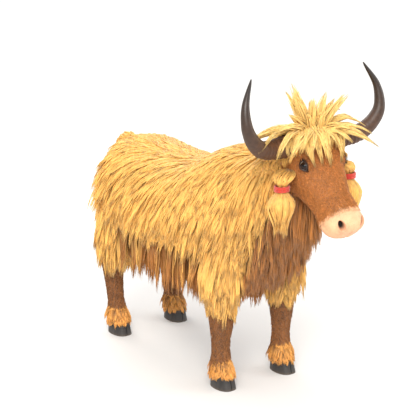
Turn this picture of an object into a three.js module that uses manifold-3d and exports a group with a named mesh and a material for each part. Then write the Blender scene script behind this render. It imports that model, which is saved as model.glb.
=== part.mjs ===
// A domestic yak bull, life size, standing square with its head raised.
// Millimetres, +Z up, the animal faces -Y, and the origin is on the ground under its middle.
import * as THREE from "three";
import { mergeVertices } from "three/addons/utils/BufferGeometryUtils.js";
import Module from "manifold-3d";

const wasm = await Module();
wasm.setup();

// Driving dimensions. Every other body size is a share of the height at the withers.
const withersHeight = 1380;
const gap = 0.35;
const bodyShift = 193;
const tall = (share) => share * withersHeight;
const turn = THREE.MathUtils.degToRad;

// How finely each kind of form is faceted round its axis.
const trunkSides = 20;
const skullSides = 18;
const legSides = 12;
const bladeSides = 3;

// Materials, one for each finish of the animal.
const finishes = {
  coat_gold: { color: 0xf0c064, roughness: 0.85, metalness: 0 },
  coat_brown: { color: 0x9c6434, roughness: 0.88, metalness: 0 },
  coat_tan: { color: 0xd9994f, roughness: 0.86, metalness: 0 },
  muzzle_skin: { color: 0xf3cda6, roughness: 0.5, metalness: 0 },
  horn: { color: 0x4a3a2e, roughness: 0.45, metalness: 0 },
  hoof: { color: 0x45423f, roughness: 0.6, metalness: 0 },
  eye: { color: 0x1c1410, roughness: 0.12, metalness: 0 },
  red_band: { color: 0xe8442c, roughness: 0.8, metalness: 0 },
};
const materials = {};
for (const [slot, look] of Object.entries(finishes)) {
  materials[slot] = new THREE.MeshStandardMaterial({ ...look, flatShading: true });
}

// Trunk and neck, from the nape back to the rump: shares of the withers height.
const trunk = [
  { at: -0.72, top: 1.12, bottom: 0.85, half: 0.09 },
  { at: -0.64, top: 1.108, bottom: 0.76, half: 0.112 },
  { at: -0.55, top: 1.045, bottom: 0.62, half: 0.142 },
  { at: -0.45, top: 1.0, bottom: 0.5, half: 0.18 },
  { at: -0.34, top: 1.0, bottom: 0.43, half: 0.21 },
  { at: -0.2, top: 0.958, bottom: 0.405, half: 0.228 },
  { at: -0.05, top: 0.885, bottom: 0.395, half: 0.238 },
  { at: 0.12, top: 0.864, bottom: 0.4, half: 0.24 },
  { at: 0.28, top: 0.868, bottom: 0.415, half: 0.232 },
  { at: 0.42, top: 0.878, bottom: 0.455, half: 0.216 },
  { at: 0.52, top: 0.86, bottom: 0.5, half: 0.196 },
  { at: 0.575, top: 0.835, bottom: 0.54, half: 0.18 },
];
const napeEnd = -0.69;
const neckRoot = -0.465;
const rumpRound = 0.43;
const rumpEnd = 0.575;
const trunkMiddle = 0.47;
const trunkSquare = 0.86;
const coatEdge = 0.56;
const edgeRise = 0.4;

// Head, in its own frame: from the poll to the end of the muzzle, shares of the head's length.
const headLength = tall(0.4);
const headTilt = turn(48);
const poll = new THREE.Vector3(0, tall(-0.66), tall(1.075));
const skull = [
  { at: -0.14, up: 0.02, down: 0.18, half: 0.13 },
  { at: 0.0, up: 0.16, down: 0.3, half: 0.24 },
  { at: 0.15, up: 0.19, down: 0.345, half: 0.268 },
  { at: 0.32, up: 0.178, down: 0.352, half: 0.262 },
  { at: 0.5, up: 0.15, down: 0.292, half: 0.214 },
  { at: 0.68, up: 0.134, down: 0.232, half: 0.19 },
  { at: 0.83, up: 0.132, down: 0.218, half: 0.204 },
  { at: 0.94, up: 0.124, down: 0.198, half: 0.2 },
  { at: 1.02, up: 0.104, down: 0.17, half: 0.18 },
];
const skullSquare = 0.82;
const skullBack = -0.08;
const muzzleRoot = 0.8;
const muzzleRound = 0.9;
const muzzleEnd = 1.02;

// Legs, from inside the trunk down to the coronet: shares of the withers height.
const foreleg = [
  { at: 0.045, x: 0.154, y: -0.34, wide: 0.046, long: 0.056 },
  { at: 0.065, x: 0.154, y: -0.336, wide: 0.043, long: 0.051 },
  { at: 0.097, x: 0.154, y: -0.33, wide: 0.045, long: 0.051 },
  { at: 0.13, x: 0.154, y: -0.329, wide: 0.038, long: 0.043 },
  { at: 0.2, x: 0.154, y: -0.329, wide: 0.038, long: 0.042 },
  { at: 0.27, x: 0.154, y: -0.332, wide: 0.047, long: 0.051 },
  { at: 0.34, x: 0.154, y: -0.33, wide: 0.051, long: 0.061 },
  { at: 0.42, x: 0.152, y: -0.33, wide: 0.063, long: 0.083 },
  { at: 0.5, x: 0.148, y: -0.334, wide: 0.073, long: 0.106 },
  { at: 0.63, x: 0.138, y: -0.335, wide: 0.06, long: 0.11 },
];
const hindleg = [
  { at: 0.045, x: 0.15, y: 0.435, wide: 0.045, long: 0.055 },
  { at: 0.065, x: 0.15, y: 0.439, wide: 0.042, long: 0.05 },
  { at: 0.097, x: 0.15, y: 0.446, wide: 0.044, long: 0.051 },
  { at: 0.13, x: 0.15, y: 0.452, wide: 0.037, long: 0.043 },
  { at: 0.22, x: 0.15, y: 0.468, wide: 0.037, long: 0.045 },
  { at: 0.31, x: 0.15, y: 0.474, wide: 0.045, long: 0.062 },
  { at: 0.37, x: 0.15, y: 0.45, wide: 0.053, long: 0.084 },
  { at: 0.45, x: 0.148, y: 0.415, wide: 0.073, long: 0.12 },
  { at: 0.54, x: 0.14, y: 0.4, wide: 0.085, long: 0.15 },
  { at: 0.66, x: 0.12, y: 0.395, wide: 0.08, long: 0.15 },
];
const legTop = 0.63;
const legJoint = 0.33;
const fetlockTop = 0.12;
const coronet = 0.052;
const cuffRoot = 0.003;
const cuffFlare = 0.009;

// A smooth value between a table's entries, whose places rise.
function between(table, key, at) {
  const last = table.length - 1;
  let i = 0;
  while (i < last - 1 && at > table[i + 1].at) i++;
  const slope = (k) => {
    const a = table[Math.max(0, k - 1)];
    const b = table[Math.min(last, k + 1)];
    return (b[key] - a[key]) / (b.at - a.at);
  };
  const span = table[i + 1].at - table[i].at;
  const t = (at - table[i].at) / span;
  const rise = table[i + 1][key] - table[i][key];
  const bend = (1 - t) * (slope(i) * span - rise) + t * (rise - slope(i + 1) * span);
  return table[i][key] + rise * t + t * (1 - t) * bend;
}

// A closed solid from a three.js geometry, its faces turned outwards.
function solidOf(geometry) {
  geometry.deleteAttribute("normal");
  geometry.deleteAttribute("uv");
  const merged = mergeVertices(geometry, 1e-4);
  const build = (triVerts) =>
    new wasm.Manifold(
      new wasm.Mesh({ numProp: 3, vertProperties: merged.getAttribute("position").array, triVerts }),
    );
  const faces = new Uint32Array(merged.index.array);
  const made = build(faces);
  return made.volume() > 0 ? made : build(faces.reverse());
}

// A form drawn out from a round bar or cone: place(t, angle, rim) puts each of its points.
function drawnOut(sides, steps, pointed, place) {
  const bar = pointed
    ? new THREE.ConeGeometry(1, 1, sides, steps)
    : new THREE.CylinderGeometry(1, 1, 1, sides, steps);
  const spots = bar.getAttribute("position");
  for (let i = 0; i < spots.count; i++) {
    const rim = Math.hypot(spots.getX(i), spots.getZ(i)) > 1e-6 ? 1 : 0;
    const angle = Math.atan2(spots.getX(i), spots.getZ(i));
    const p = place(spots.getY(i) + 0.5, angle, rim);
    spots.setXYZ(i, p.x, p.y, p.z);
  }
  return solidOf(bar);
}

const rounded = (value, power) => Math.sign(value) * Math.abs(value) ** power;

// A point on the trunk's surface. Angle 0 is the spine and a quarter turn is the left flank.
function trunkPoint(y, angle, extra = 0, rim = 1) {
  const at = y / withersHeight;
  const past = Math.min(1, Math.max(0, (at - rumpRound) / (rumpEnd - rumpRound)));
  const shrink = Math.sqrt(1 - (0.97 * past) ** 2.4);
  const top = tall(between(trunk, "top", at));
  const bottom = tall(between(trunk, "bottom", at));
  const middle = bottom + trunkMiddle * (top - bottom);
  const half = tall(between(trunk, "half", at)) * shrink + extra;
  const reach = (Math.cos(angle) > 0 ? top - middle : middle - bottom) * shrink + extra;
  return new THREE.Vector3(
    rim * half * rounded(Math.sin(angle), trunkSquare),
    y,
    middle + rim * reach * rounded(Math.cos(angle), trunkSquare),
  );
}

// How far an end of a grown form moves out, so that it stays clear along its length too.
const endShift = (t, extra) => (t < 1e-6 ? -extra : t > 1 - 1e-6 ? extra : 0);

// Rings stand closer together towards the end that rounds off.
const eased = (from, to, t) => from + (to - from) * Math.sin((t * Math.PI) / 2);

function trunkSolid(from, to, steps, extra) {
  return drawnOut(trunkSides, steps, false, (t, angle, rim) =>
    trunkPoint(tall(eased(from, to, t)) + endShift(t, extra), angle, extra, rim));
}

function boxSolid(low, high) {
  const size = new THREE.Vector3().subVectors(high, low);
  const box = new THREE.BoxGeometry(size.x, size.y, size.z);
  box.translate((low.x + high.x) / 2, (low.y + high.y) / 2, (low.z + high.z) / 2);
  return solidOf(box);
}

// The part of the world above or below the line where the gold coat ends.
function beyondEdge(side, extra) {
  const far = tall(2);
  const shape = new THREE.Shape();
  shape.moveTo(far, 0);
  shape.lineTo(tall(neckRoot), 0);
  shape.lineTo(tall(napeEnd), tall(edgeRise));
  shape.lineTo(-far, tall(edgeRise));
  shape.lineTo(-far, side * far);
  shape.lineTo(far, side * far);
  const slab = new THREE.ExtrudeGeometry(shape, { depth: far, bevelEnabled: false });
  slab.translate(0, 0, -far / 2);
  slab.rotateX(Math.PI / 2);
  slab.rotateZ(Math.PI / 2);
  slab.translate(0, 0, tall(coatEdge) - side * extra);
  return solidOf(slab);
}

// From the head's own frame, face upwards and nose towards -Y, into the world.
const headPlace = new THREE.Matrix4()
  .makeRotationX(headTilt)
  .setPosition(poll);

function headPoint(along, x, up) {
  return new THREE.Vector3(x, -along, up).applyMatrix4(headPlace);
}

const noseWay = new THREE.Vector3(0, -Math.cos(headTilt), -Math.sin(headTilt));
const faceUp = new THREE.Vector3(0, -Math.sin(headTilt), Math.cos(headTilt));
function muzzleTaper(share) {
  const past = Math.min(1, Math.max(0, (share - muzzleRound) / (muzzleEnd - muzzleRound)));
  return Math.sqrt(1 - (0.9 * past) ** 2.2);
}

function skullPoint(share, angle, extra = 0, rim = 1) {
  const shrink = muzzleTaper(share);
  const half = headLength * between(skull, "half", share) * shrink + extra;
  const key = Math.cos(angle) > 0 ? "up" : "down";
  const reach = headLength * between(skull, key, share) * shrink + extra;
  return headPoint(
    share * headLength,
    rim * half * rounded(Math.sin(angle), skullSquare),
    rim * reach * rounded(Math.cos(angle), skullSquare),
  );
}

function skullSolid(from, to, steps, extra) {
  return drawnOut(skullSides, steps, false, (t, angle, rim) =>
    skullPoint(eased(from, to, t) + endShift(t, extra) / headLength, angle, extra, rim));
}

// A round form along a path: size(t) gives its half width and half depth.
const forwards = new THREE.Vector3(0, -1, 0);
function rope(path, size, sides, steps, pointed, extra, out = forwards) {
  const tipWay = path(1).sub(path(1 - 1 / steps)).normalize();
  return drawnOut(sides, steps, pointed, (t, angle, rim) => {
    const here = path(t);
    const along = path(Math.min(1, t + 0.02)).sub(path(Math.max(0, t - 0.02))).normalize();
    const across = new THREE.Vector3().crossVectors(along, out).normalize();
    const face = new THREE.Vector3().crossVectors(across, along);
    const [wide, deep] = size(t);
    return here
      .addScaledVector(across, rim * (wide + extra) * Math.sin(angle))
      .addScaledVector(face, rim * (deep + extra) * Math.cos(angle))
      .addScaledVector(t > 0.5 ? tipWay : along, endShift(t, extra));
  });
}

const pathThrough = (points) => {
  const curve = new THREE.CatmullRomCurve3(points);
  return (t) => curve.getPoint(t);
};
const curveOf = (...points) => pathThrough(points.map((p) => new THREE.Vector3(...p.map(tall))));

// Repeatable draws, so that the locks vary as real ones do and every build is the same.
let drawn = 2024;
function draw(low, high) {
  drawn = (drawn * 48271) % 2147483647;
  return low + ((high - low) * drawn) / 2147483647;
}

// Places spread evenly over a span, each a little off its own.
function spread(count, from, to) {
  const step = (to - from) / count;
  return Array.from({ length: count }, (_, i) => from + step * (i + 0.5 + draw(-0.2, 0.2)));
}

// A lock of hair: a flat blade along a curve, ridged outside, broadest in its first half.
function lock(points, out, wide, thick, steps = 3) {
  return { path: pathThrough(points), out, wide, thick, steps };
}

// Its grown form is wider still, because its edges are sharp.
const edgeGrowth = 7;
function lockSolid({ path, out, wide, thick, steps }, extra) {
  const size = (t) => [
    wide * 1.15 * Math.sin(Math.PI * (0.2 + 0.75 * t)) + edgeGrowth * extra,
    thick * 1.3 * (1 - 0.6 * t) + extra,
  ];
  return rope(path, size, bladeSides, steps, true, extra, out);
}

// Horns: out from the sides of the poll, then up, with the tips turning in.
function horn(side, extra) {
  const path = curveOf(
    [side * 0.05, -0.672, 1.075],
    [side * 0.15, -0.68, 1.068],
    [side * 0.25, -0.7, 1.085],
    [side * 0.315, -0.715, 1.16],
    [side * 0.318, -0.7, 1.25],
    [side * 0.27, -0.67, 1.345],
  );
  const size = (t) => {
    const r = tall(0.044) * (1 - t) ** 0.75 + tall(0.002);
    return [r, r];
  };
  return [rope(path, size, 10, 10, true, extra)];
}

// Ear: a leaf with a cup in its front, and locks along its lower edge.
const earPath = (side) => curveOf(
  [side * 0.075, -0.655, 1.02],
  [side * 0.16, -0.645, 1.005],
  [side * 0.245, -0.615, 0.975],
);
const earWide = (t) => tall(0.03) * Math.sin(Math.PI * (0.2 + 0.8 * t)) + 1;
const earDeep = (t) => tall(0.013) * (1 - 0.6 * t);

function ear(side, extra) {
  return [rope(earPath(side), (t) => [earWide(t), earDeep(t)], 8, 5, true, extra)];
}

function earCup(side) {
  const span = (t) => 0.36 + 0.5 * t;
  const path = (t) => earPath(side)(span(t)).addScaledVector(forwards, earDeep(span(t)));
  const size = (t) => [
    earWide(span(t)) * 0.62 * Math.sin(Math.PI * (0.15 + 0.8 * t)),
    earDeep(span(t)) * 1.1,
  ];
  return [rope(path, size, 7, 3, false, 0)];
}

function earLocks(side) {
  return [0.38, 0.72].map((t, i) => {
    const root = earPath(side)(t);
    const long = tall(0.055 + 0.01 * i);
    const at = (share) => new THREE.Vector3(
      root.x + side * long * 0.35 * share,
      root.y + long * 0.1 * share,
      root.z - earWide(t) * 0.5 - long * share,
    );
    return lock([root, at(0.35), at(0.7), at(1)], forwards, tall(0.018), tall(0.006), 2);
  });
}

// Eye: a ball sunk in the skull behind two lids, which leave an almond opening.
const eyeRadius = tall(0.019);
const lidThick = tall(0.0045);
const eyeAlong = 0.3;
const eyeTurn = turn(62);
function eyePlace(side) {
  const surface = skullPoint(eyeAlong, side * eyeTurn);
  const outwards = skullPoint(eyeAlong, side * eyeTurn, 1).sub(surface).normalize();
  return { centre: surface.addScaledVector(outwards, -eyeRadius * 0.5), outwards };
}

function eyeball(side, extra) {
  const ball = new THREE.SphereGeometry(eyeRadius + extra, 12, 7);
  ball.translate(...eyePlace(side).centre.toArray());
  return [solidOf(ball)];
}

function lids(side, extra) {
  const { centre, outwards } = eyePlace(side);
  const shell = new THREE.SphereGeometry(eyeRadius + lidThick + extra, 10, 7);
  shell.translate(...centre.toArray());
  const opening = new THREE.SphereGeometry(eyeRadius, 8, 5);
  opening.scale(1.06, 0.62, 1.6);
  const across = new THREE.Vector3().crossVectors(outwards, noseWay).normalize();
  const along = new THREE.Vector3().crossVectors(across, outwards);
  opening.applyMatrix4(new THREE.Matrix4().makeBasis(along, across, outwards));
  opening.translate(...centre.clone().addScaledVector(outwards, eyeRadius).toArray());
  return [solidOf(shell).subtract(solidOf(opening))];
}

// The mouth: a roll of lip round the muzzle from corner to corner, with a groove along its middle.
const mouthLevel = 0.112;
const mouthFront = 1.006;
const mouthCorner = 0.7;
function mouthPath(t) {
  const share = mouthFront - (mouthFront - mouthCorner) * (2 * t - 1) ** 2;
  const reach = between(skull, "down", share) * muzzleTaper(share);
  const lean = Math.acos(Math.min(1, (mouthLevel / reach) ** (1 / skullSquare)));
  return skullPoint(share, Math.PI - Math.sign(t - 0.5) * lean);
}

function mouthRoll(deep, high, sides, extra) {
  const size = (t) => [tall(deep) * Math.sin(Math.PI * (0.06 + 0.88 * t)) ** 0.4, tall(high)];
  return rope(mouthPath, size, sides, 10, false, extra, faceUp);
}

// The part of the head before or behind the bare muzzle's edge.
function headBlock(from, to) {
  const box = new THREE.BoxGeometry(headLength, (to - from) * headLength, 2 * headLength);
  box.translate(0, (-(from + to) / 2) * headLength, 0);
  box.applyMatrix4(headPlace);
  return solidOf(box);
}

// Nostrils: pockets in the front of the muzzle, each with a raised rim.
const nostrilPlace = { x: 0.098, along: 0.985, up: 0.035 };
function nostril(side, wide, high, deep) {
  const { x, along, up } = nostrilPlace;
  const bulb = new THREE.SphereGeometry(1, 8, 5);
  bulb.scale(tall(wide), tall(deep), tall(high));
  bulb.rotateY(side * turn(30));
  bulb.rotateZ(side * turn(24));
  bulb.translate(side * headLength * x, -headLength * along, headLength * up);
  bulb.applyMatrix4(headPlace);
  return solidOf(bulb);
}

// The forelock grows from a cap of wool on the poll.
const capPlace = () => skullPoint(0.0, 0).addScaledVector(noseWay, -tall(0.006));
function forelockCap(extra) {
  const cap = new THREE.SphereGeometry(1, 12, 7);
  cap.scale(tall(0.085) + extra, tall(0.062) + extra, tall(0.045) + extra);
  cap.translate(...capPlace().toArray());
  return [solidOf(cap)];
}

// One lock thrown from the poll: the way it faces, how steeply it rises, its length and its fall.
function thrownLock(facing, rise, long, fall) {
  const way = new THREE.Vector3(Math.sin(turn(facing)), -Math.cos(turn(facing)), 0);
  const out = new THREE.Vector3(0, 0, Math.cos(turn(rise))).addScaledVector(way, -Math.sin(turn(rise)));
  const start = capPlace().add(new THREE.Vector3(way.x * tall(0.045), way.y * tall(0.03), 0));
  const spots = [0, 0.35, 0.7, 1].map((share) => start.clone()
    .addScaledVector(way, tall(long) * share * Math.cos(turn(rise)))
    .add(new THREE.Vector3(0, 0, tall(long) * share * Math.sin(turn(rise)) - tall(fall) * share ** 2)));
  return lock(spots, out, tall(draw(0.028, 0.034)), tall(0.011), 2);
}

function forelockLocks() {
  const upright = [-155, -75, 5, 85].map((facing) =>
    thrownLock(facing + draw(-15, 15), draw(60, 76), draw(0.14, 0.2), draw(0.0, 0.03)));
  const outward = [-66, -36, 38, 68].map((facing) =>
    thrownLock(facing + draw(-6, 6), draw(34, 50), draw(0.17, 0.21), draw(0.1, 0.15)));
  const falling = spread(6, -60, 60).map((angle) => {
    const long = draw(0.26, 0.38);
    const spots = [0, 0.3, 0.65, 1].map((t, i) =>
      skullPoint(0.0 + long * t, turn(angle * (0.6 + 0.5 * t)), tall([0.02, 0.034, 0.026, 0.012][i])));
    const out = skullPoint(0.15, turn(angle), 1).sub(skullPoint(0.15, turn(angle)));
    return lock(spots, out, tall(0.028), tall(0.008));
  });
  return [...upright, ...outward, ...falling];
}

// The wool under the locks of the back and the neck.
const undercoat = tall(0.01);
function mantle(from, to, steps, extra) {
  return trunkSolid(from, to, steps, extra + undercoat).intersect(boxSolid(
    new THREE.Vector3(-tall(1), tall(from) - extra, 0),
    new THREE.Vector3(tall(1), tall(to) + undercoat + extra, tall(2)),
  ));
}

// A place on the coat: over the trunk to a little past its widest, then straight down.
const hangFrom = turn(98);
function coatPoint(side, y, angle, lift) {
  const point = trunkPoint(y, Math.min(angle, hangFrom), lift);
  point.z -= Math.max(0, angle - hangFrom) * tall(0.25);
  point.x *= side;
  return point;
}

// A row of locks down one side, each from a root angle of the section to a tip angle.
function coatRow(side, count, from, to, root, tip, wide) {
  return spread(count, tall(from), tall(to)).map((y) => {
    const start = turn(root + draw(-3, 3));
    const end = turn(tip + draw(-5, 5));
    const sweep = tall(draw(0.01, 0.05));
    const spots = [0, 0.35, 0.7, 1].map((t, i) => {
      const lift = tall([-0.008, 0.024, 0.038, 0.03][i]);
      return coatPoint(side, y + sweep * t ** 1.5, start + (end - start) * t, lift);
    });
    const middle = coatPoint(side, y, (start + end) / 2, 0);
    const out = coatPoint(side, y, (start + end) / 2, 1).sub(middle);
    return lock(spots, out, tall(wide * draw(0.9, 1.1)), tall(0.012), 2);
  });
}

// Short locks along the spine, lying back.
function crest(count, from, to, long) {
  return spread(count, tall(from), tall(to)).map((y) => {
    const lean = draw(-0.02, 0.02);
    const spots = [0, 0.35, 0.7, 1].map((t, i) => {
      const point = trunkPoint(y + tall(long) * t, 0, tall([-0.004, 0.024, 0.034, 0.03][i]));
      point.x = tall(lean * t);
      return point;
    });
    return lock(spots, new THREE.Vector3(0, 0, 1), tall(0.045), tall(0.012), 2);
  });
}

// Locks that fall over the end of the rump beside the tail.
function rumpLocks(side) {
  const upper = [[26, 0.16], [54, 0.2], [84, 0.22]].map(([angle, drop]) => {
    const root = trunkPoint(tall(0.46), turn(angle), -tall(0.008));
    const over = trunkPoint(tall(0.53), turn(angle + 3), tall(0.022));
    const x = over.x * 0.94;
    const spots = [
      root,
      over,
      new THREE.Vector3(x, tall(0.592), over.z - tall(drop * 0.45)),
      new THREE.Vector3(x * 0.96, tall(0.6), over.z - tall(drop)),
    ];
    spots.forEach((spot) => { spot.x *= side; });
    return lock(spots, new THREE.Vector3(side * 0.3, 1, 0.6), tall(0.048), tall(0.012));
  });
  const lower = [0.08, 0.15].map((x) => {
    const tip = draw(0.47, 0.5);
    const spots = [[0.52, 0.7], [0.572, 0.655], [0.594, 0.57], [0.592, tip]];
    return lock(
      spots.map(([y, z]) => new THREE.Vector3(side * tall(x), tall(y), tall(z))),
      new THREE.Vector3(0, 1, 0), tall(0.042), tall(0.011), 2,
    );
  });
  return [...upper, ...lower];
}

// A lock of the skirt: rooted under the flank, it hangs to its own level.
function skirtLock(side, y, root, x, tip, wide) {
  const start = trunkPoint(tall(y), turn(root), -tall(0.008));
  const bend = trunkPoint(tall(y + 0.006), turn(root + 7), tall(0.012));
  const spots = [
    start,
    bend,
    new THREE.Vector3(tall(x), tall(y + 0.016), (bend.z + tall(tip)) / 2),
    new THREE.Vector3(tall(x * 0.97), tall(y + draw(0.01, 0.04)), tall(tip)),
  ];
  spots.forEach((spot) => { spot.x *= side; });
  return lock(spots, new THREE.Vector3(side, 0, 0), tall(wide), tall(0.011), 2);
}

function skirtRow(side, count, from, to, root, x, tip, wide) {
  return spread(count, from, to).map((y) => skirtLock(side, y, root, x, tip + draw(-0.02, 0.02), wide));
}

// A lock across the chest or the underside, hanging from the trunk's lower line.
function chestLock(x, y, tip, wide) {
  const bottom = between(trunk, "bottom", y);
  const slope = (between(trunk, "bottom", y + 0.04) - bottom) / 0.04;
  const back = (z) => y + (slope < -0.3 ? (0.8 * (z - bottom)) / slope : 0);
  const levels = [bottom + 0.06, bottom + 0.005, (bottom + tip) / 2, tip];
  const swing = [0.02, 0, -0.012, 0.004];
  const spots = levels.map((z, i) => new THREE.Vector3(tall(x), tall(back(z) + swing[i]), tall(z)));
  return lock(spots, forwards, tall(wide), tall(0.011), 2);
}

// Hanging side lock, pinched where its band is tied.
const tasselPath = (side) => curveOf(
  [side * 0.085, -0.69, 0.985],
  [side * 0.15, -0.718, 0.955],
  [side * 0.168, -0.725, 0.885],
  [side * 0.172, -0.727, 0.72],
);
const tasselCoreEnd = 0.76;
const bandPlace = 0.5;
const bandThick = tall(0.009);
const bandHigh = tall(0.028);
const waist = tall(0.022);
function tasselCore(side, extra) {
  const path = (t) => tasselPath(side)(tasselCoreEnd * t);
  const size = (t) => Array(2).fill(waist * Math.min(1, (1 - t) * 5));
  return [rope(path, size, 8, 6, true, extra)];
}

// Locks set round a path, each at its own turn and with its own distances from it.
function ringOfLocks(path, count, places, reaches, { wide, thick, steps }, first) {
  return Array.from({ length: count }, (_, i) => {
    const angle = ((i + first + draw(-0.15, 0.15)) / count) * 2 * Math.PI;
    const way = new THREE.Vector3(Math.sin(angle), Math.cos(angle), 0);
    const slip = draw(-0.02, 0.02);
    const spots = places.map((place, k) =>
      path(place + (k === places.length - 1 ? slip : 0)).addScaledVector(way, tall(reaches[k])));
    return lock(spots, way, tall(wide), tall(thick), steps);
  });
}

function tasselLocks(side) {
  const path = tasselPath(side);
  const blade = { wide: 0.029, thick: 0.011, steps: 2 };
  return [
    ...ringOfLocks(path, 4, [0.2, 0.27, 0.35, 0.43], [0.014, 0.034, 0.034, 0.016], blade, 0),
    ...ringOfLocks(path, 4, [0.57, 0.66, 0.81, 0.97], [0.012, 0.032, 0.044, 0.026], blade, 0.5),
  ];
}

function band(side, extra) {
  const place = tasselPath(side)(bandPlace);
  const ring = (r, high) => {
    const bar = new THREE.CylinderGeometry(r, r, high, 16, 1);
    bar.rotateX(Math.PI / 2);
    bar.translate(place.x, place.y, place.z);
    return solidOf(bar);
  };
  const outer = ring(waist + bandThick + extra, bandHigh + 2 * extra);
  return [outer.subtract(ring(waist + gap - extra, 3 * bandHigh))];
}

function legPoint(leg, side, share, angle, extra, rim) {
  return new THREE.Vector3(
    side * tall(between(leg, "x", share)) + rim * (tall(between(leg, "wide", share)) + extra) * Math.sin(angle),
    tall(between(leg, "y", share)) + rim * (tall(between(leg, "long", share)) + extra) * Math.cos(angle),
    tall(share),
  );
}

function legSolid(leg, side, from, to, steps, extra) {
  return [
    drawnOut(legSides, steps, false, (t, angle, rim) =>
      legPoint(leg, side, from + (to - from) * t + endShift(t, extra) / withersHeight, angle, extra, rim)),
  ];
}

// A lock on a leg. Its turn is from straight outwards, with the rear positive. Below the held level it
// hangs straight.
function legLock(leg, side, around, [from, to], reaches, wide, held = 0) {
  const angle = side * turn(90 - around);
  const spots = reaches.map((reach, i) => {
    const share = from + ((to - from) * i) / (reaches.length - 1);
    const point = legPoint(leg, side, Math.max(share, held), angle, tall(reach), 1);
    point.z = tall(share);
    return point;
  });
  const out = new THREE.Vector3(Math.sin(angle), Math.cos(angle), 0);
  return lock(spots, out, tall(wide), tall(0.01), 2);
}

function foreLocks(side) {
  const upper = [-48, 8, 62].map((place) => {
    const around = place + draw(-6, 6);
    return legLock(foreleg, side, around, [0.545, draw(0.41, 0.43)], [-0.006, 0.016, 0.022], 0.044);
  });
  const lower = [-80, -28, 24, 80].map((place) => {
    const around = place + draw(-6, 6);
    return legLock(foreleg, side, around, [0.455, draw(0.325, 0.35)], [-0.006, 0.014, 0.014], 0.044, 0.37);
  });
  return [...upper, ...lower];
}

function hindLocks(side) {
  const upper = [-50, 4, 58].map((place) => {
    const around = place + draw(-6, 6);
    return legLock(hindleg, side, around, [0.585, draw(0.44, 0.46)], [-0.006, 0.018, 0.024], 0.058);
  });
  const lower = [-80, -28, 24, 80].map((place) => {
    const around = place + draw(-6, 6);
    return legLock(hindleg, side, around, [0.49, draw(0.36, 0.385)], [-0.006, 0.016, 0.016], 0.052, 0.4);
  });
  return [...upper, ...lower];
}

function cuff(leg, side, extra) {
  return [
    drawnOut(legSides, 2, false, (t, angle, rim) => {
      const share = coronet + (fetlockTop - coronet) * t + endShift(t, extra) / withersHeight;
      return legPoint(leg, side, share, angle, tall(cuffRoot + cuffFlare * (1 - t)) + extra, rim);
    }),
  ];
}

function cuffLocks(leg, side) {
  return spread(6, 0, 360).map((around) =>
    legLock(leg, side, around, [fetlockTop - 0.012, draw(0.034, 0.042)], [0, 0.016, 0.026], 0.03));
}

// One claw of a cloven hoof: flat on its inner wall, pointed in front.
function claw(leg, side, inner, extra) {
  const x = side * tall(between(leg, "x", coronet));
  const y = tall(between(leg, "y", coronet));
  return [
    drawnOut(14, 1, false, (t, angle, rim) => {
      const wide = tall(0.041) * (1 - 0.12 * t) + extra;
      const long = tall(0.062) * (1 - 0.14 * t) + extra;
      const across = rim * wide * Math.abs(Math.sin(angle)) ** 0.8 * (Math.sin(angle) > 0 ? 1 : 0);
      return new THREE.Vector3(
        x + inner * (2 - extra + across),
        y - rim * long * Math.cos(angle) - tall(0.006) * (1 - t),
        t * (tall(coronet) - gap) + (t > 0 ? extra : -extra),
      );
    }),
  ];
}

// Tail: a dock that reaches half way, in tiers of long locks.
const tailPath = curveOf([0, 0.52, 0.83], [0, 0.588, 0.8], [0, 0.618, 0.68], [0, 0.62, 0.45], [0, 0.605, 0.22]);
const dockEnd = 0.62;
const dockRadius = tall(0.023);
function dock(extra) {
  const path = (t) => tailPath(dockEnd * t);
  const size = (t) => Array(2).fill(dockRadius * Math.min(1, (1 - t) * 4 + 0.2));
  return [rope(path, size, 8, 6, true, extra)];
}

function tailLocks() {
  const blade = { wide: 0.038, thick: 0.012, steps: 3 };
  return [
    ...ringOfLocks(tailPath, 4, [0.17, 0.3, 0.46, 0.64], [0.014, 0.036, 0.05, 0.044], blade, 0.5),
    ...ringOfLocks(tailPath, 4, [0.44, 0.56, 0.76, 0.97], [0.014, 0.034, 0.046, 0.026], blade, 0),
  ];
}

// The nodes in their order: a later core is cut clear of each earlier one.
const nodes = [];
const add = (name, slot, core, locks = [], cuts = []) => nodes.push({ name, slot, core, locks, cuts });
const sides = { left: 1, right: -1 };
const above = (extra) => beyondEdge(1, extra);
const below = (extra) => beyondEdge(-1, extra);
const bothSides = (make) => Object.values(sides).flatMap(make);

for (const [word, side] of Object.entries(sides)) {
  add(`eye_${word}`, "eye", (extra) => eyeball(side, extra));
}
add(
  "muzzle",
  "muzzle_skin",
  (extra) => [
    skullSolid(muzzleRoot, muzzleEnd, 5, extra),
    mouthRoll(0.007, 0.014, 4, extra).intersect(headBlock(muzzleRoot - extra / headLength, 1.2)),
    ...bothSides((side) => nostril(side, 0.02, 0.024, 0.018)),
  ],
  [],
  [mouthRoll(0.009, 0.002, 4, 0), ...bothSides((side) => nostril(side, 0.013, 0.017, 0.026))],
);
add(
  "head",
  "coat_brown",
  (extra) => [
    skullSolid(skullBack, muzzleRoot, 8, extra),
    mouthRoll(0.007, 0.014, 4, extra).intersect(headBlock(0.4, muzzleRoot)),
    ...bothSides((side) => lids(side, extra)),
  ],
  [],
  [mouthRoll(0.009, 0.002, 4, 0)],
);
for (const [word, side] of Object.entries(sides)) {
  add(`horn_${word}`, "horn", (extra) => horn(side, extra));
  add(`ear_${word}`, "coat_gold", (extra) => ear(side, extra), earLocks(side), earCup(side));
  add(`red_band_${word}`, "red_band", (extra) => band(side, extra));
}
add("forelock", "coat_gold", forelockCap, forelockLocks());
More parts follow.
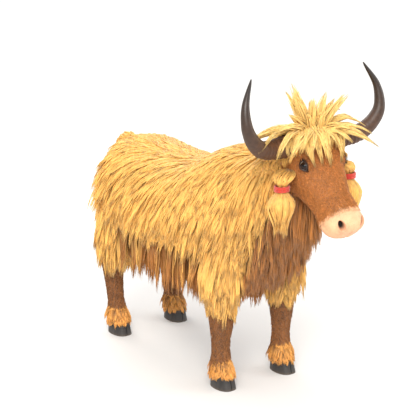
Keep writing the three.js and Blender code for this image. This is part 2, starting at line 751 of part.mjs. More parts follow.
add(
  "neck",
  "coat_gold",
  (extra) => [mantle(napeEnd, neckRoot, 5, extra).intersect(above(extra))],
  [
    ...crest(2, -0.66, -0.47, 0.16),
    ...bothSides((side) => [
      ...coatRow(side, 2, -0.66, -0.49, 14, 62, 0.044),
      ...coatRow(side, 2, -0.64, -0.48, 52, 100, 0.05),
    ]),
  ],
);
add(
  "throat",
  "coat_brown",
  (extra) => [trunkSolid(napeEnd, neckRoot, 5, extra).intersect(below(extra))],
  [
    ...[-0.055, 0.04].map((x) => chestLock(x, -0.6, draw(0.5, 0.54), 0.045)),
    ...[-0.1, 0.0, 0.1].map((x) => chestLock(x, -0.53, draw(0.38, 0.42), 0.05)),
    ...bothSides((side) => skirtRow(side, 1, -0.58, -0.5, 112, 0.15, 0.55, 0.042)),
  ],
);
add(
  "torso_back",
  "coat_gold",
  (extra) => [mantle(neckRoot, rumpEnd, 10, extra).intersect(above(extra))],
  [
    ...crest(5, -0.47, 0.42, 0.2),
    ...bothSides((side) => [
      ...coatRow(side, 7, -0.46, 0.48, 14, 50, 0.068),
      ...coatRow(side, 8, -0.42, 0.49, 43, 82, 0.06),
      ...coatRow(side, 9, -0.46, 0.5, 74, 119, 0.056),
      ...rumpLocks(side),
    ]),
  ],
);
add(
  "torso_belly",
  "coat_brown",
  (extra) => [trunkSolid(neckRoot, rumpEnd, 10, extra).intersect(below(extra))],
  [
    ...bothSides((side) => [
      ...skirtRow(side, 5, -0.22, 0.25, 110, 0.232, 0.43, 0.053),
      ...skirtRow(side, 5, -0.24, 0.27, 130, 0.21, 0.325, 0.05),
      ...skirtRow(side, 2, -0.19, 0.23, 152, 0.12, 0.33, 0.07),
    ]),
    ...[-0.085, 0, 0.085].map((x) => chestLock(x, -0.43, draw(0.32, 0.35), 0.044)),
  ],
);
add("tail", "coat_gold", dock, tailLocks());
for (const [word, side] of Object.entries(sides)) {
  add(`side_lock_${word}`, "coat_gold", (extra) => tasselCore(side, extra), tasselLocks(side));
}
for (const [place, leg] of Object.entries({ fore: foreleg, hind: hindleg })) {
  for (const [word, side] of Object.entries(sides)) {
    const name = `${place}leg_${word}`;
    for (const [wing, inner] of Object.entries({ inner: -side, outer: side })) {
      add(`${name}_claw_${wing}`, "hoof", (extra) => claw(leg, side, inner, extra));
    }
    add(`${name}_pastern`, "coat_tan", (extra) => cuff(leg, side, extra), cuffLocks(leg, side));
    add(`${name}_cannon`, "coat_brown", (extra) => legSolid(leg, side, fetlockTop, legJoint, 4, extra));
    const locks = place === "fore" ? foreLocks(side) : hindLocks(side);
    add(`${name}_upper`, "coat_gold", (extra) => legSolid(leg, side, legJoint, legTop, 5, extra), locks);
  }
}

const union = (solids) => wasm.Manifold.union(solids);

// The largest closed surface of a solid, with any hollow sealed inside it filled.
function largest(solid) {
  return solid.decompose().reduce((a, b) => (b.volume() > a.volume() ? b : a));
}

function touching(a, b) {
  const p = a.boundingBox();
  const q = b.boundingBox();
  return [0, 1, 2].every((i) => p.min[i] < q.max[i] && q.min[i] < p.max[i]);
}

const clearOf = (solid, others) =>
  others.reduce((rest, other) => (touching(rest, other) ? rest.subtract(other) : rest), solid);

for (const node of nodes) {
  node.wideCore = union(node.core(gap));
}
nodes.forEach((node, i) => {
  const earlier = nodes.slice(0, i);
  const core = clearOf(union(node.core(0)), earlier.map((other) => other.wideCore));
  const others = nodes.filter((other) => other !== node).map((other) => other.wideCore);
  const wideHair = earlier.flatMap((other) => other.wideLocks);
  const hair = node.locks.map((spec) => clearOf(lockSolid(spec, 0), [...others, ...wideHair]));
  node.wideLocks = node.locks.map((spec) => lockSolid(spec, gap));
  node.solid = largest(clearOf(union([core, ...hair]), node.cuts));
});

function geometryFrom(solid) {
  const mesh = solid.getMesh();
  const geometry = new THREE.BufferGeometry();
  geometry.setAttribute("position", new THREE.BufferAttribute(new Float32Array(mesh.vertProperties), 3));
  geometry.setIndex(new THREE.BufferAttribute(new Uint32Array(mesh.triVerts), 1));
  geometry.computeVertexNormals();
  return geometry;
}

const yak = new THREE.Group();
for (const node of nodes) {
  const mesh = new THREE.Mesh(geometryFrom(node.solid), materials[node.slot]);
  mesh.name = node.name;
  yak.add(mesh);
}

yak.position.y = bodyShift;

export default yak;
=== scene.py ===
# A golden domestic yak bull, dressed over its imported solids: one skin, a coat of solid tufts,
# ringed horns, cloven hoofs, wet eyes and two side locks wound with red wool.
import bpy
import math
import numpy as np
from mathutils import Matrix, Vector
from mathutils.bvhtree import BVHTree
from mathutils.kdtree import KDTree


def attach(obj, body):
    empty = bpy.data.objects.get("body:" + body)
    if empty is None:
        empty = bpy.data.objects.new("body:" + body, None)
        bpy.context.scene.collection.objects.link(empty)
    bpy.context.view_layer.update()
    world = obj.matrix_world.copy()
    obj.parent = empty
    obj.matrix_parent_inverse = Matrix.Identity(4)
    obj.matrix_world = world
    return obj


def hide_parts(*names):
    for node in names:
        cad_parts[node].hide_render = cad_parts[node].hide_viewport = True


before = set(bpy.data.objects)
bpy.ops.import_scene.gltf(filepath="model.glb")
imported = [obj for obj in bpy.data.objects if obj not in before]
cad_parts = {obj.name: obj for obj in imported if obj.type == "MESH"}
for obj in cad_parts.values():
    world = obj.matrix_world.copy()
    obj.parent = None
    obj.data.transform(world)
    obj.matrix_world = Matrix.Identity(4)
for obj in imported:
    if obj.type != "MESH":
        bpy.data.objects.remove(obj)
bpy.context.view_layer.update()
random = np.random.default_rng(41)

# Sizes of the whole animal. Places below are shares of the height at the withers, before shiftY.
body = {"withers": 1.38, "shiftY": 0.193}


def tall(share):
    return share * body["withers"]


def place(x, y, z):
    return np.array([tall(x), tall(y) + body["shiftY"], tall(z)])


def linear(r, g, b):
    # the shader's own value of a colour read off a screen
    return [((c / 255 + 0.055) / 1.055) ** 2.4 if c > 10 else c / 3294 for c in (r, g, b)]


palette = {
    "gold": linear(250, 196, 106),
    "brown": linear(174, 115, 58),
    "face": linear(192, 122, 62),
    "leg": linear(138, 88, 46),
    "tan": linear(230, 164, 84),
    "muzzle": linear(242, 192, 148),
    "blush": linear(214, 140, 116),
    # near black: the lashes' and the lid skin's own colour, and painted shade inside the nostrils and along
    # the mouth's line
    "nose": linear(30, 20, 18),
    "ear": linear(232, 176, 142),
}


def smoothStep(low, high, value):
    t = np.clip((value - low) / (high - low), 0, 1)
    return t * t * (3 - 2 * t)


def hump(value, wide):
    # 1 where the value is 0, fading out on both sides
    return np.exp(-((value / wide) ** 2))


def blended(colour, other, share):
    return colour * (1 - share[:, None]) + np.array(other) * share[:, None]


def unit(v):
    return v / np.maximum(np.linalg.norm(v, axis=-1, keepdims=True), 1e-9)


def sharesOf(p):
    # x, y and z of many points, as shares of the height
    return p[:, 0] / body["withers"], (p[:, 1] - body["shiftY"]) / body["withers"], p[:, 2] / body["withers"]


def sideWord(side):
    return "Left" if side > 0 else "Right"


def onCurve(points, t):
    # a smooth line through the points, evenly shared out among them
    points = [np.asarray(p, float) for p in points]
    reach = (len(points) - 1) * min(max(t, 0.0), 1.0)
    i = min(int(reach), len(points) - 2)
    w = reach - i
    p1, p2 = points[i], points[i + 1]
    p0 = points[i - 1] if i else 2 * p1 - p2
    p3 = points[i + 2] if i + 2 < len(points) else 2 * p2 - p1
    d0, d1, d2 = (np.linalg.norm(a - b) ** 0.5 for a, b in ((p1, p0), (p2, p1), (p3, p2)))
    v1 = ((p1 - p0) / d0 - (p2 - p0) / (d0 + d1) + (p2 - p1) / d1) * d1
    v2 = ((p2 - p1) / d1 - (p3 - p1) / (d1 + d2) + (p3 - p2) / d2) * d1
    return p1 + v1 * w + (3 * (p2 - p1) - 2 * v1 - v2) * w**2 + (2 * (p1 - p2) + v1 + v2) * w**3


def tableValue(rows, column, at):
    # a smooth value between the rows of a table, whose first column rises
    rows = np.array(rows, float)
    places, values = rows[:, 0], rows[:, column]
    slopes = np.gradient(values, places)
    at = np.clip(at, places[0], places[-1])
    i = np.clip(np.searchsorted(places, at) - 1, 0, len(places) - 2)
    span = places[i + 1] - places[i]
    t = (at - places[i]) / span
    rise = values[i + 1] - values[i]
    bend = (1 - t) * (slopes[i] * span - rise) + t * (rise - slopes[i + 1] * span)
    return values[i] + rise * t + t * (1 - t) * bend


def rowAt(rows, at):
    # all the other columns of such a table
    return [tableValue(rows, k, at) for k in range(1, len(rows[0]))]


def mirrored(points, side):
    return [place(side * x, y, z) for x, y, z in points]


# Small steps that all forms and pieces share.
def startClean():
    if bpy.context.object and bpy.context.object.mode != "OBJECT":
        bpy.ops.object.mode_set(mode="OBJECT")
    bpy.ops.object.select_all(action="DESELECT")


def only(piece):
    startClean()
    piece.select_set(True)
    bpy.context.view_layer.objects.active = piece


def applyPlace():
    bpy.ops.object.transform_apply(location=True, rotation=True, scale=True)


def modified(piece, kind, **settings):
    only(piece)
    change = piece.modifiers.new(kind.lower(), kind)
    for name, value in settings.items():
        setattr(change, name, value)
    bpy.ops.object.modifier_apply(modifier=change.name)


def joined(pieces, name):
    only(pieces[0])
    for piece in pieces[1:]:
        piece.select_set(True)
    bpy.ops.object.join()
    pieces[0].name = name
    return pieces[0]


def triangles(piece):
    return sum(len(face.vertices) - 2 for face in piece.data.polygons)


def valuesOf(rows, field, wide=3, kind=float):
    # one field of all points, faces or corners of a mesh, a row each
    out = np.empty(len(rows) * wide, kind)
    rows.foreach_get(field, out)
    return out.reshape(-1, wide)


def getPoints(mesh):
    return valuesOf(mesh.vertices, "co")


def getNormals(mesh):
    return valuesOf(mesh.vertices, "normal")


def setPoints(mesh, co):
    mesh.vertices.foreach_set("co", np.ascontiguousarray(co, float).ravel())
    mesh.update()


def smoothFaces(piece, angle=None):
    only(piece)
    if angle:
        bpy.ops.object.shade_smooth_by_angle(angle=math.radians(angle))
    else:
        bpy.ops.object.shade_smooth()


def allInEdit(piece):
    only(piece)
    bpy.ops.object.mode_set(mode="EDIT")
    bpy.ops.mesh.select_all(action="SELECT")


def outwards(piece, merge=1e-5):
    allInEdit(piece)
    bpy.ops.mesh.remove_doubles(threshold=merge)
    bpy.ops.mesh.normals_make_consistent(inside=False)
    bpy.ops.object.mode_set(mode="OBJECT")


# A form drawn out ring by ring, along Y or upwards. Each ring is its place along, its centre in
# the other two directions, and its half sizes there.
def drawnOut(name, rings, along, sides, outline):
    startClean()
    turned = (math.pi / 2, 0, 0) if along == "Y" else (0, 0, 0)

    def point(ring):
        return Vector((ring[1], ring[0], ring[2]) if along == "Y" else (ring[1], ring[2], ring[0]))

    def scale(wide, deep):
        return (wide, 1, deep) if along == "Y" else (wide, deep, 1)

    bpy.ops.mesh.primitive_circle_add(vertices=sides, radius=1, fill_type="NGON", rotation=turned)
    piece = bpy.context.object
    piece.name = name
    applyPlace()
    for vertex in piece.data.vertices:
        other = vertex.co.z if along == "Y" else vertex.co.y
        wide, deep = outline(math.atan2(vertex.co.x, other))
        vertex.co = (wide, 0, deep) if along == "Y" else (wide, deep, 0)
    allInEdit(piece)
    before = rings[0]
    bpy.ops.transform.resize(value=scale(before[3], before[4]), center_override=(0, 0, 0))
    bpy.ops.transform.translate(value=point(before))
    for ring in rings[1:]:
        bpy.ops.mesh.extrude_region_move(TRANSFORM_OT_translate={"value": point(ring) - point(before)})
        ratio = scale(ring[3] / before[3], ring[4] / before[4])
        bpy.ops.transform.resize(value=ratio, center_override=point(ring))
        before = ring
    bpy.ops.object.mode_set(mode="OBJECT")
    outwards(piece)
    return piece


def squared(power):
    def outline(angle):
        s, c = math.sin(angle), math.cos(angle)
        return math.copysign(abs(s) ** power, s), math.copysign(abs(c) ** power, c)

    return outline


# A tube along points with its own radius at each: a bevelled line turned into a mesh.
def tube(name, points, radii, sides, closed=False):
    startClean()
    line = bpy.data.curves.new(name, "CURVE")
    line.dimensions = "3D"
    line.bevel_depth = 1
    line.bevel_resolution = max(0, sides // 2 - 2)
    line.use_fill_caps = not closed
    spline = line.splines.new("POLY")
    spline.points.add(len(points) - 1)
    for spot, point, radius in zip(spline.points, points, radii):
        spot.co = (*point, 1)
        spot.radius = radius
    spline.use_cyclic_u = closed
    piece = bpy.data.objects.new(name, line)
    bpy.context.scene.collection.objects.link(piece)
    only(piece)
    bpy.ops.object.convert(target="MESH")
    outwards(piece)
    return bpy.context.object


# Trunk and neck: place along Y, top, bottom, half width.
trunk = {
    "rows": [
        (-0.72, 1.12, 0.85, 0.09), (-0.64, 1.108, 0.76, 0.112), (-0.55, 1.045, 0.62, 0.142),
        (-0.45, 1.0, 0.5, 0.18), (-0.34, 1.0, 0.43, 0.21), (-0.2, 0.958, 0.405, 0.228),
        (-0.05, 0.885, 0.395, 0.238), (0.12, 0.864, 0.4, 0.24), (0.28, 0.868, 0.415, 0.232),
        (0.42, 0.878, 0.455, 0.216), (0.52, 0.86, 0.5, 0.196), (0.575, 0.835, 0.54, 0.18),
    ],
    "start": -0.68, "end": 0.572, "rings": 26, "rump": (0.43, 0.575, 0.97, 2.4),
    "middle": 0.47, "square": 0.86, "inside": 0.006, "sides": 32,
}


def roundedEnd(at, start, end, depth, power):
    # how much of its size a form still has where it draws in between start and end
    past = np.clip((at - start) / (end - start), 0, 1)
    return np.sqrt(1 - (depth * past) ** power)


def easedShares(count):
    # shares of a length that lie closer together towards its end
    return [math.sin(i / (count - 1) * math.pi / 2) for i in range(count)]


def trunkRing(y):
    # centre height, half width and half height of the trunk at a place along it
    shrink = roundedEnd(y, *trunk["rump"])
    top, bottom, half = rowAt(trunk["rows"], y)
    middle = bottom + trunk["middle"] * (top - bottom)
    top = middle + (top - middle) * shrink - trunk["inside"]
    bottom = middle - (middle - bottom) * shrink + trunk["inside"]
    return (top + bottom) / 2, half * shrink - trunk["inside"], (top - bottom) / 2


def makeTrunk():
    rings = []
    for share in easedShares(trunk["rings"]):
        y = trunk["start"] + (trunk["end"] - trunk["start"]) * share
        high, half, reach = trunkRing(y)
        rings.append((tall(y) + body["shiftY"], 0, tall(high), tall(half), tall(reach)))
    return drawnOut("trunkForm", rings, "Y", trunk["sides"], squared(trunk["square"]))


# Head, in its own frame: place along, up, down, half width, as shares of its length.
head = {
    "rows": [
        (-0.14, 0.02, 0.18, 0.13), (0.0, 0.16, 0.3, 0.24), (0.15, 0.19, 0.345, 0.268),
        (0.32, 0.178, 0.352, 0.262), (0.5, 0.15, 0.292, 0.214), (0.68, 0.134, 0.232, 0.19),
        (0.83, 0.132, 0.218, 0.204), (0.94, 0.124, 0.198, 0.2), (1.02, 0.104, 0.17, 0.18),
    ],
    "length": tall(0.4), "tilt": math.radians(48), "poll": place(0, -0.66, 1.075),
    "start": -0.09, "end": 1.02, "rings": 22, "nose": (0.9, 1.02, 0.9, 2.2), "square": 0.82,
    "inside": 0.003, "muzzleRoot": 0.8, "sides": 32,
}
noseWay = np.array([0, -math.cos(head["tilt"]), -math.sin(head["tilt"])])
faceUp = np.array([0, -math.sin(head["tilt"]), math.cos(head["tilt"])])


def headRing(share):
    # up, down and half width of the head at a share of its length
    return [value * roundedEnd(share, *head["nose"]) for value in rowAt(head["rows"], share)]


def headPoint(x, along, up):
    # x in metres, the others as shares of the head's length
    return head["poll"] + np.array([x, 0, 0]) + head["length"] * (along * noseWay + up * faceUp)


def headSurface(share, angle, lift=0.0):
    # angle 0 is the middle of the face and a quarter turn is the left cheek
    up, down, half = headRing(share)
    wide, high = squared(head["square"])(angle)
    x = wide * (half * head["length"] + lift)
    return headPoint(x, share, high * ((up if high > 0 else down) + lift / head["length"]))


def makeHead():
    rings = []
    for eased in easedShares(head["rings"]):
        share = head["start"] + (head["end"] - head["start"]) * eased
        up, down, half = (v * head["length"] - head["inside"] for v in headRing(share))
        rings.append((-share * head["length"], 0, (up - down) / 2, half, (up + down) / 2))
    piece = drawnOut("headForm", rings, "Y", head["sides"], squared(head["square"]))
    only(piece)
    piece.rotation_euler = (head["tilt"], 0, 0)
    piece.location = head["poll"]
    applyPlace()
    return piece


# Legs, from the coronet up into the trunk: height, x, y, half width, half length.
legs = {
    "fore": [
        (0.045, 0.154, -0.34, 0.046, 0.056), (0.065, 0.154, -0.336, 0.043, 0.051),
        (0.097, 0.154, -0.33, 0.045, 0.051), (0.13, 0.154, -0.329, 0.038, 0.043),
        (0.2, 0.154, -0.329, 0.038, 0.042), (0.27, 0.154, -0.332, 0.047, 0.051),
        (0.34, 0.154, -0.33, 0.051, 0.061), (0.42, 0.152, -0.33, 0.063, 0.083),
        (0.5, 0.148, -0.334, 0.073, 0.106), (0.63, 0.138, -0.335, 0.06, 0.11),
    ],
    "hind": [
        (0.045, 0.15, 0.435, 0.045, 0.055), (0.065, 0.15, 0.439, 0.042, 0.05),
        (0.097, 0.15, 0.446, 0.044, 0.051), (0.13, 0.15, 0.452, 0.037, 0.043),
        (0.22, 0.15, 0.468, 0.037, 0.045), (0.31, 0.15, 0.474, 0.045, 0.062),
        (0.37, 0.15, 0.45, 0.053, 0.084), (0.45, 0.148, 0.415, 0.073, 0.12),
        (0.54, 0.14, 0.4, 0.085, 0.15), (0.66, 0.12, 0.395, 0.08, 0.15),
    ],
    "start": 0.05, "end": 0.63, "rings": 24, "inside": 0.002, "sides": 24, "square": 0.95,
    "joint": 0.33, "fetlock": 0.12, "coronet": 0.052,
}


def makeLeg(which, side):
    rings = []
    for z in np.linspace(legs["start"], legs["end"], legs["rings"]):
        x, y, wide, deep = rowAt(legs[which], z)
        middle = place(side * x, y, z)
        half = (tall(wide - legs["inside"]), tall(deep - legs["inside"]))
        rings.append((tall(z), middle[0], middle[1], *half))
    return drawnOut("legForm", rings, "Z", legs["sides"], squared(legs["square"]))


tail = {
    "points": [place(0, 0.52, 0.83), place(0, 0.588, 0.8), place(0, 0.618, 0.68), place(0, 0.62, 0.45),
               place(0, 0.605, 0.22)],
    "dockStart": 0.16, "dockEnd": 0.5, "radius": tall(0.015), "taper": 0.45, "rings": 14, "sides": 12,
}


def makeDock():
    shares = np.linspace(0, tail["dockEnd"], tail["rings"])
    points = [onCurve(tail["points"], t) for t in shares]
    radii = tail["radius"] * (1 - tail["taper"] * shares / tail["dockEnd"])
    return tube("dockForm", points, radii, tail["sides"])


# Ear: a leaf that starts on the side of the head, cupped in front.
ear = {
    "points": [(0.075, -0.655, 1.02), (0.16, -0.645, 1.005), (0.245, -0.615, 0.975)],
    "wide": tall(0.028), "deep": tall(0.008), "cup": tall(0.012), "rootWide": 0.2, "tipThin": 0.5,
    "blunt": 1.6, "cupFrom": 0.22, "cupStretch": 1.25, "cupPower": 0.7, "clearOfHead": tall(0.108),
    "rootTo": tall(0.125), "smoothed": 4,
}


def earPoint(side, t):
    return onCurve(mirrored(ear["points"], side), t)


def makeEar(side):
    startClean()
    bpy.ops.mesh.primitive_uv_sphere_add(segments=32, ring_count=28, radius=1)
    piece = bpy.context.object
    piece.name = "earForm"
    made = []
    for x, y, z in getPoints(piece.data):
        t = (z + 1) / 2
        way = unit(earPoint(side, t + 0.03) - earPoint(side, t - 0.03))
        across = unit(np.cross(way, [0, -1, 0]))
        face = np.cross(across, way) * (1 if np.cross(across, way)[1] < 0 else -1)
        reach = math.hypot(x, y) or 1
        full = min(1, reach * ear["blunt"])
        leaf = math.sin(math.pi * (ear["rootWide"] + (1 - ear["rootWide"]) * t))
        wide = ear["wide"] * leaf * (x / reach) * full
        deep = ear["deep"] * (1 - ear["tipThin"] * t) * (y / reach) * full
        hollow = math.sin(math.pi * min(1, max(0, t * ear["cupStretch"] - ear["cupFrom"]))) ** ear["cupPower"]
        bowl = ear["cup"] * (1 - (x / reach) ** 2) * hollow
        made.append(earPoint(side, t) + across * wide + face * (deep - bowl))
    setPoints(piece.data, np.array(made))
    outwards(piece)
    return piece


skinLook = {"voxel": 0.0095, "smooth": 7, "trunkShare": 0.56}


def makeSkin():
    forms = [makeTrunk(), makeHead(), makeDock()]
    for side in (1, -1):
        forms += [makeLeg("fore", side), makeLeg("hind", side)]
    skin = joined(forms, "skin")
    modified(skin, "REMESH", mode="VOXEL", voxel_size=skinLook["voxel"], use_smooth_shade=True)
    modified(skin, "SMOOTH", factor=0.5, iterations=skinLook["smooth"])
    trunkOnly = skin.vertex_groups.new(name="trunkOnly")
    trunkOnly.add(np.nonzero(whichForm(getPoints(skin.data)) == trunkForm)[0].tolist(), 1.0, "REPLACE")
    modified(skin, "DECIMATE", ratio=skinLook["trunkShare"], vertex_group="trunkOnly")
    skin.vertex_groups.clear()
    for side in (1, -1):
        leaf = makeEar(side)
        modified(skin, "BOOLEAN", operation="UNION", object=leaf, solver="MANIFOLD")
        bpy.data.objects.remove(leaf)
    return skin


# Which form a point of the surface belongs to: the one whose level is lowest, which is 1 on its
# surface. The tail and the ears come first where they are near.
trunkForm, headForm, foreForm, hindForm, dockForm, earForm = range(6)


def headFrame(p):
    # places in the head's own frame: x in metres, the others as shares of its length
    q = p - head["poll"]
    return q[:, 0], q @ noseWay / head["length"], q @ faceUp / head["length"]


def ovalLevel(wide, high, power, past):
    # past is how far a point lies beyond the form's ends, which counts for much more
    return (wide**power + high**power) ** (1 / power) + 20 * past


def headLevel(p):
    x, along, up = headFrame(p)
    above, below, half = headRing(along)
    reach = np.where(up > 0, above, below)
    past = np.maximum(0, along - head["end"]) + np.maximum(0, head["start"] - along)
    return ovalLevel(np.abs(x) / (half * head["length"]), np.abs(up) / reach, 2 / head["square"], past)


def trunkLevel(p):
    _, y, z = sharesOf(p)
    high, half, reach = trunkRing(y)
    past = np.maximum(0, y - trunk["end"]) + np.maximum(0, trunk["start"] - y)
    return ovalLevel(np.abs(p[:, 0]) / tall(half), np.abs(z - high) / reach, 2 / trunk["square"], past)


def legLevel(p, which):
    x, y, z = sharesOf(p)
    cx, cy, wide, deep = rowAt(legs[which], z)
    return ovalLevel((np.abs(x) - cx) / wide, (y - cy) / deep, 2, np.maximum(0, z - legs["end"]))


def isNear(p, line, reach):
    return np.min(np.linalg.norm(p[:, None, :] - line[None], axis=2), axis=1) < reach


def whichForm(p):
    levels = np.stack([trunkLevel(p), headLevel(p), legLevel(p, "fore"), legLevel(p, "hind")])
    form = np.argmin(levels, axis=0)
    shares = np.linspace(tail["dockStart"], tail["dockEnd"] + 0.04, 20)
    dockLine = np.array([onCurve(tail["points"], t) for t in shares])
    form[isNear(p, dockLine, tail["radius"] * 1.5)] = dockForm
    for side in (1, -1):
        leaf = np.array([earPoint(side, t) for t in np.linspace(0.3, 1, 16)])
        form[isNear(p, leaf, ear["wide"] * 1.15) & (np.abs(p[:, 0]) > ear["clearOfHead"])] = earForm
    return form


# Markings, shared by the skin and the coat: gold mantle, brown face, chest and belly, tan cuffs.
marks = {
    "edge": 0.582, "edgeRise": 0.4, "edgeFrom": -0.465, "edgeTo": -0.69, "soft": 0.014,
    "ragged": 0.012, "raggedSize": 0.05, "legSoft": 0.012, "cuffSoft": 0.008,
    "pollFrom": 0.06, "pollTo": 0.12, "muzzleSoft": 0.015, "muzzleRagged": 1.6,
}


def raggedness(p, size):
    # a soft uneven value between -1 and 1 from a few crossed waves
    q = p / size
    a = np.sin(q[:, 0] * 1.7 + 2.1 * np.sin(q[:, 1] * 0.9 + 0.5) + q[:, 2] * 0.6)
    b = np.sin(q[:, 1] * 1.3 + 1.9 * np.sin(q[:, 2] * 1.1 + 1.7) + q[:, 0] * 0.7)
    c = np.sin(q[:, 2] * 1.9 + 2.3 * np.sin(q[:, 0] * 0.8 + 2.9) + q[:, 1] * 0.5)
    return (a + b + c) / 3


def mantleEdge(p):
    # the height where gold meets brown, which climbs from the elbows to the throat
    rise = (marks["edgeFrom"] - sharesOf(p)[1]) / (marks["edgeFrom"] - marks["edgeTo"])
    return marks["edge"] + marks["edgeRise"] * np.clip(rise, 0, 1)


def markings(p, form):
    # the colour of each point, and how bare of hair it is
    z, along = sharesOf(p)[2], headFrame(p)[1]
    isHead, isLeg = form == headForm, (form == foreForm) | (form == hindForm)
    wander = raggedness(p, marks["raggedSize"]) * marks["ragged"]
    gold = smoothStep(-marks["soft"], marks["soft"], z - mantleEdge(p) + wander)
    legGold = smoothStep(legs["joint"] - marks["legSoft"], legs["joint"] + marks["legSoft"], z + wander)
    gold = np.where(isLeg, legGold, gold)
    gold = np.where((form == dockForm) | (form == earForm), 1.0, gold)
    gold = np.where(isHead, 1 - smoothStep(marks["pollFrom"], marks["pollTo"], along + wander), gold)
    brown = np.where(isHead[:, None], palette["face"], palette["brown"])
    brown = np.where(isLeg[:, None], palette["leg"], brown)
    colour = blended(brown, palette["gold"], gold)
    tan = 1 - smoothStep(legs["fetlock"] - marks["cuffSoft"], legs["fetlock"] + marks["cuffSoft"], z + wander)
    colour = blended(colour, palette["tan"], tan * isLeg)
    onMuzzle = along - head["muzzleRoot"] + marks["muzzleRagged"] * wander
    bare = np.where(isHead, smoothStep(-marks["muzzleSoft"], marks["muzzleSoft"], onMuzzle), 0)
    return blended(colour, palette["muzzle"], bare), bare


def noteStage(label):
    print(f"stage: {label}", flush=True)


skin = makeSkin()
noteStage(f"skin blocked out, {triangles(skin)} triangles")


# The head is cut finer, then modelled: brow, cheeks, crest, nose, lips, nostrils and lids.
face = {
    # share along, x, share up, radius, height
    "bulges": [
        (0.235, 0.118, 0.13, 0.03, 0.011), (0.17, 0.14, 0.02, 0.04, 0.004),
        (0.32, 0.13, -0.14, 0.07, 0.008), (0.2, 0.115, -0.28, 0.05, 0.006),
        (0.11, 0.135, 0.06, 0.03, -0.005), (0.45, 0.116, 0.03, 0.024, 0.006),
        (0.56, 0.1, 0.005, 0.024, 0.005), (0.6, 0.07, 0.105, 0.032, -0.007),
        (0.5, 0.0, 0.15, 0.045, 0.004), (0.93, 0.09, 0.02, 0.028, 0.006),
        (0.9, 0.0, 0.12, 0.04, 0.004), (0.9, 0.0, -0.19, 0.034, 0.006),
        (0.0, 0.0, 0.16, 0.07, 0.008),
    ],
    "mouthLevel": -0.106, "mouthBow": 0.02, "mouthCorner": 0.68, "grooveDeep": 0.006, "grooveWide": 0.0032,
    "lipHigh": 0.0035, "lipAway": 0.0095, "lipWide": 0.006,
    "cleftDeep": 0.0045, "cleftWide": 0.005, "cleftUp": (0.02, 0.1), "creaseDeep": 0.0012,
    "creaseSize": 0.006, "front": (0.9, 0.98), "fineAlong": (0.66, 1.1), "fineUp": 0.3, "fineEye": 1.9,
    # nosePaint: how far into the nostrils the painted shade reaches
    "smoothed": 6, "bareDark": 0.6, "earCup": (0.1, 0.6), "nosePaint": (0.0, 0.45), "eyePaint": 1.6,
    # mouthDark and mouthDarkWide: the painted shade along the mouth's line
    "mouthDark": 0.75, "mouthDarkWide": 0.0022, "lidDark": 0.88, "lidDarkTo": (1.15, 1.75),
    "blush": 0.4, "blushAtNose": 0.45, "blushAtMouth": 0.014, "earDark": 0.5, "combed": 0.14,
}
nostril = {
    "along": 0.968, "turn": math.radians(43), "wide": 0.0175, "high": 0.0275, "deep": 0.03,
    "slope": (-0.12, 0.55), "rim": 0.005, "rimAt": -0.32, "rimWide": 0.26, "reach": 0.05,
    "lean": math.radians(24), "forward": 0.35,
}
eye = {
    "radius": tall(0.021), "along": 0.3, "turn": math.radians(62), "sunk": 0.6, "lid": tall(0.0032),
    "fold": tall(0.003), "foldAt": 1.75, "foldWide": 0.16, "foldFrom": (-0.1, 0.4), "lidSwell": 0.6,
    "lidSwellAt": 1.2, "lidSwellWide": 0.18, "hold": (1.1, 1.8), "reach": 2.4, "long": 0.86, "high": 0.54,
    "forward": 0.28, "well": 0.72, "bulge": 0.05, "bulgeWide": 0.42, "segments": 64, "rings": 40,
}


def eyeFrame(side):
    surface = headSurface(eye["along"], side * eye["turn"])
    away = unit(headSurface(eye["along"], side * eye["turn"], 0.001) - surface)
    centre = surface - away * eye["radius"] * eye["sunk"]
    lengthways = unit(noseWay - away * (noseWay @ away))
    upwards = unit(faceUp - away * (faceUp @ away) - lengthways * (faceUp @ lengthways))
    return centre, away, lengthways, upwards


def cutFiner(piece, chosen):
    only(piece)
    bpy.ops.object.mode_set(mode="EDIT")
    bpy.ops.mesh.select_mode(type="FACE")
    bpy.ops.mesh.select_all(action="DESELECT")
    bpy.ops.object.mode_set(mode="OBJECT")
    piece.data.polygons.foreach_set("select", chosen)
    bpy.ops.object.mode_set(mode="EDIT")
    bpy.ops.mesh.subdivide(number_cuts=1)
    bpy.ops.object.mode_set(mode="OBJECT")


def smoothWhere(piece, weights, iterations):
    group = piece.vertex_groups.new(name="soft")
    for level in (0.25, 0.5, 0.75, 1.0):
        chosen = np.nonzero((weights > level - 0.25) & (weights <= level))[0]
        if len(chosen):
            group.add(chosen.tolist(), level, "REPLACE")
    modified(piece, "SMOOTH", factor=0.5, iterations=iterations, vertex_group="soft")
    piece.vertex_groups.clear()


def nearFace(p):
    # close to an eye, or on the muzzle and mouth, where the finest faces go
    _, along, up = headFrame(p)
    start, end = face["fineAlong"]
    near = (along > start) & (along < end) & (np.abs(up) < face["fineUp"])
    for side in (1, -1):
        near |= np.linalg.norm(p - eyeFrame(side)[0], axis=1) < eye["radius"] * face["fineEye"]
    return near & (whichForm(p) == headForm)


def fromMouth(along, up):
    # how far above the line of the mouth each point lies; it sinks between its corner and its front
    share = np.clip((along - face["mouthCorner"]) / (1 - face["mouthCorner"]), 0, 1)
    return (up - face["mouthLevel"] + face["mouthBow"] * np.sin(math.pi * share)) * head["length"]


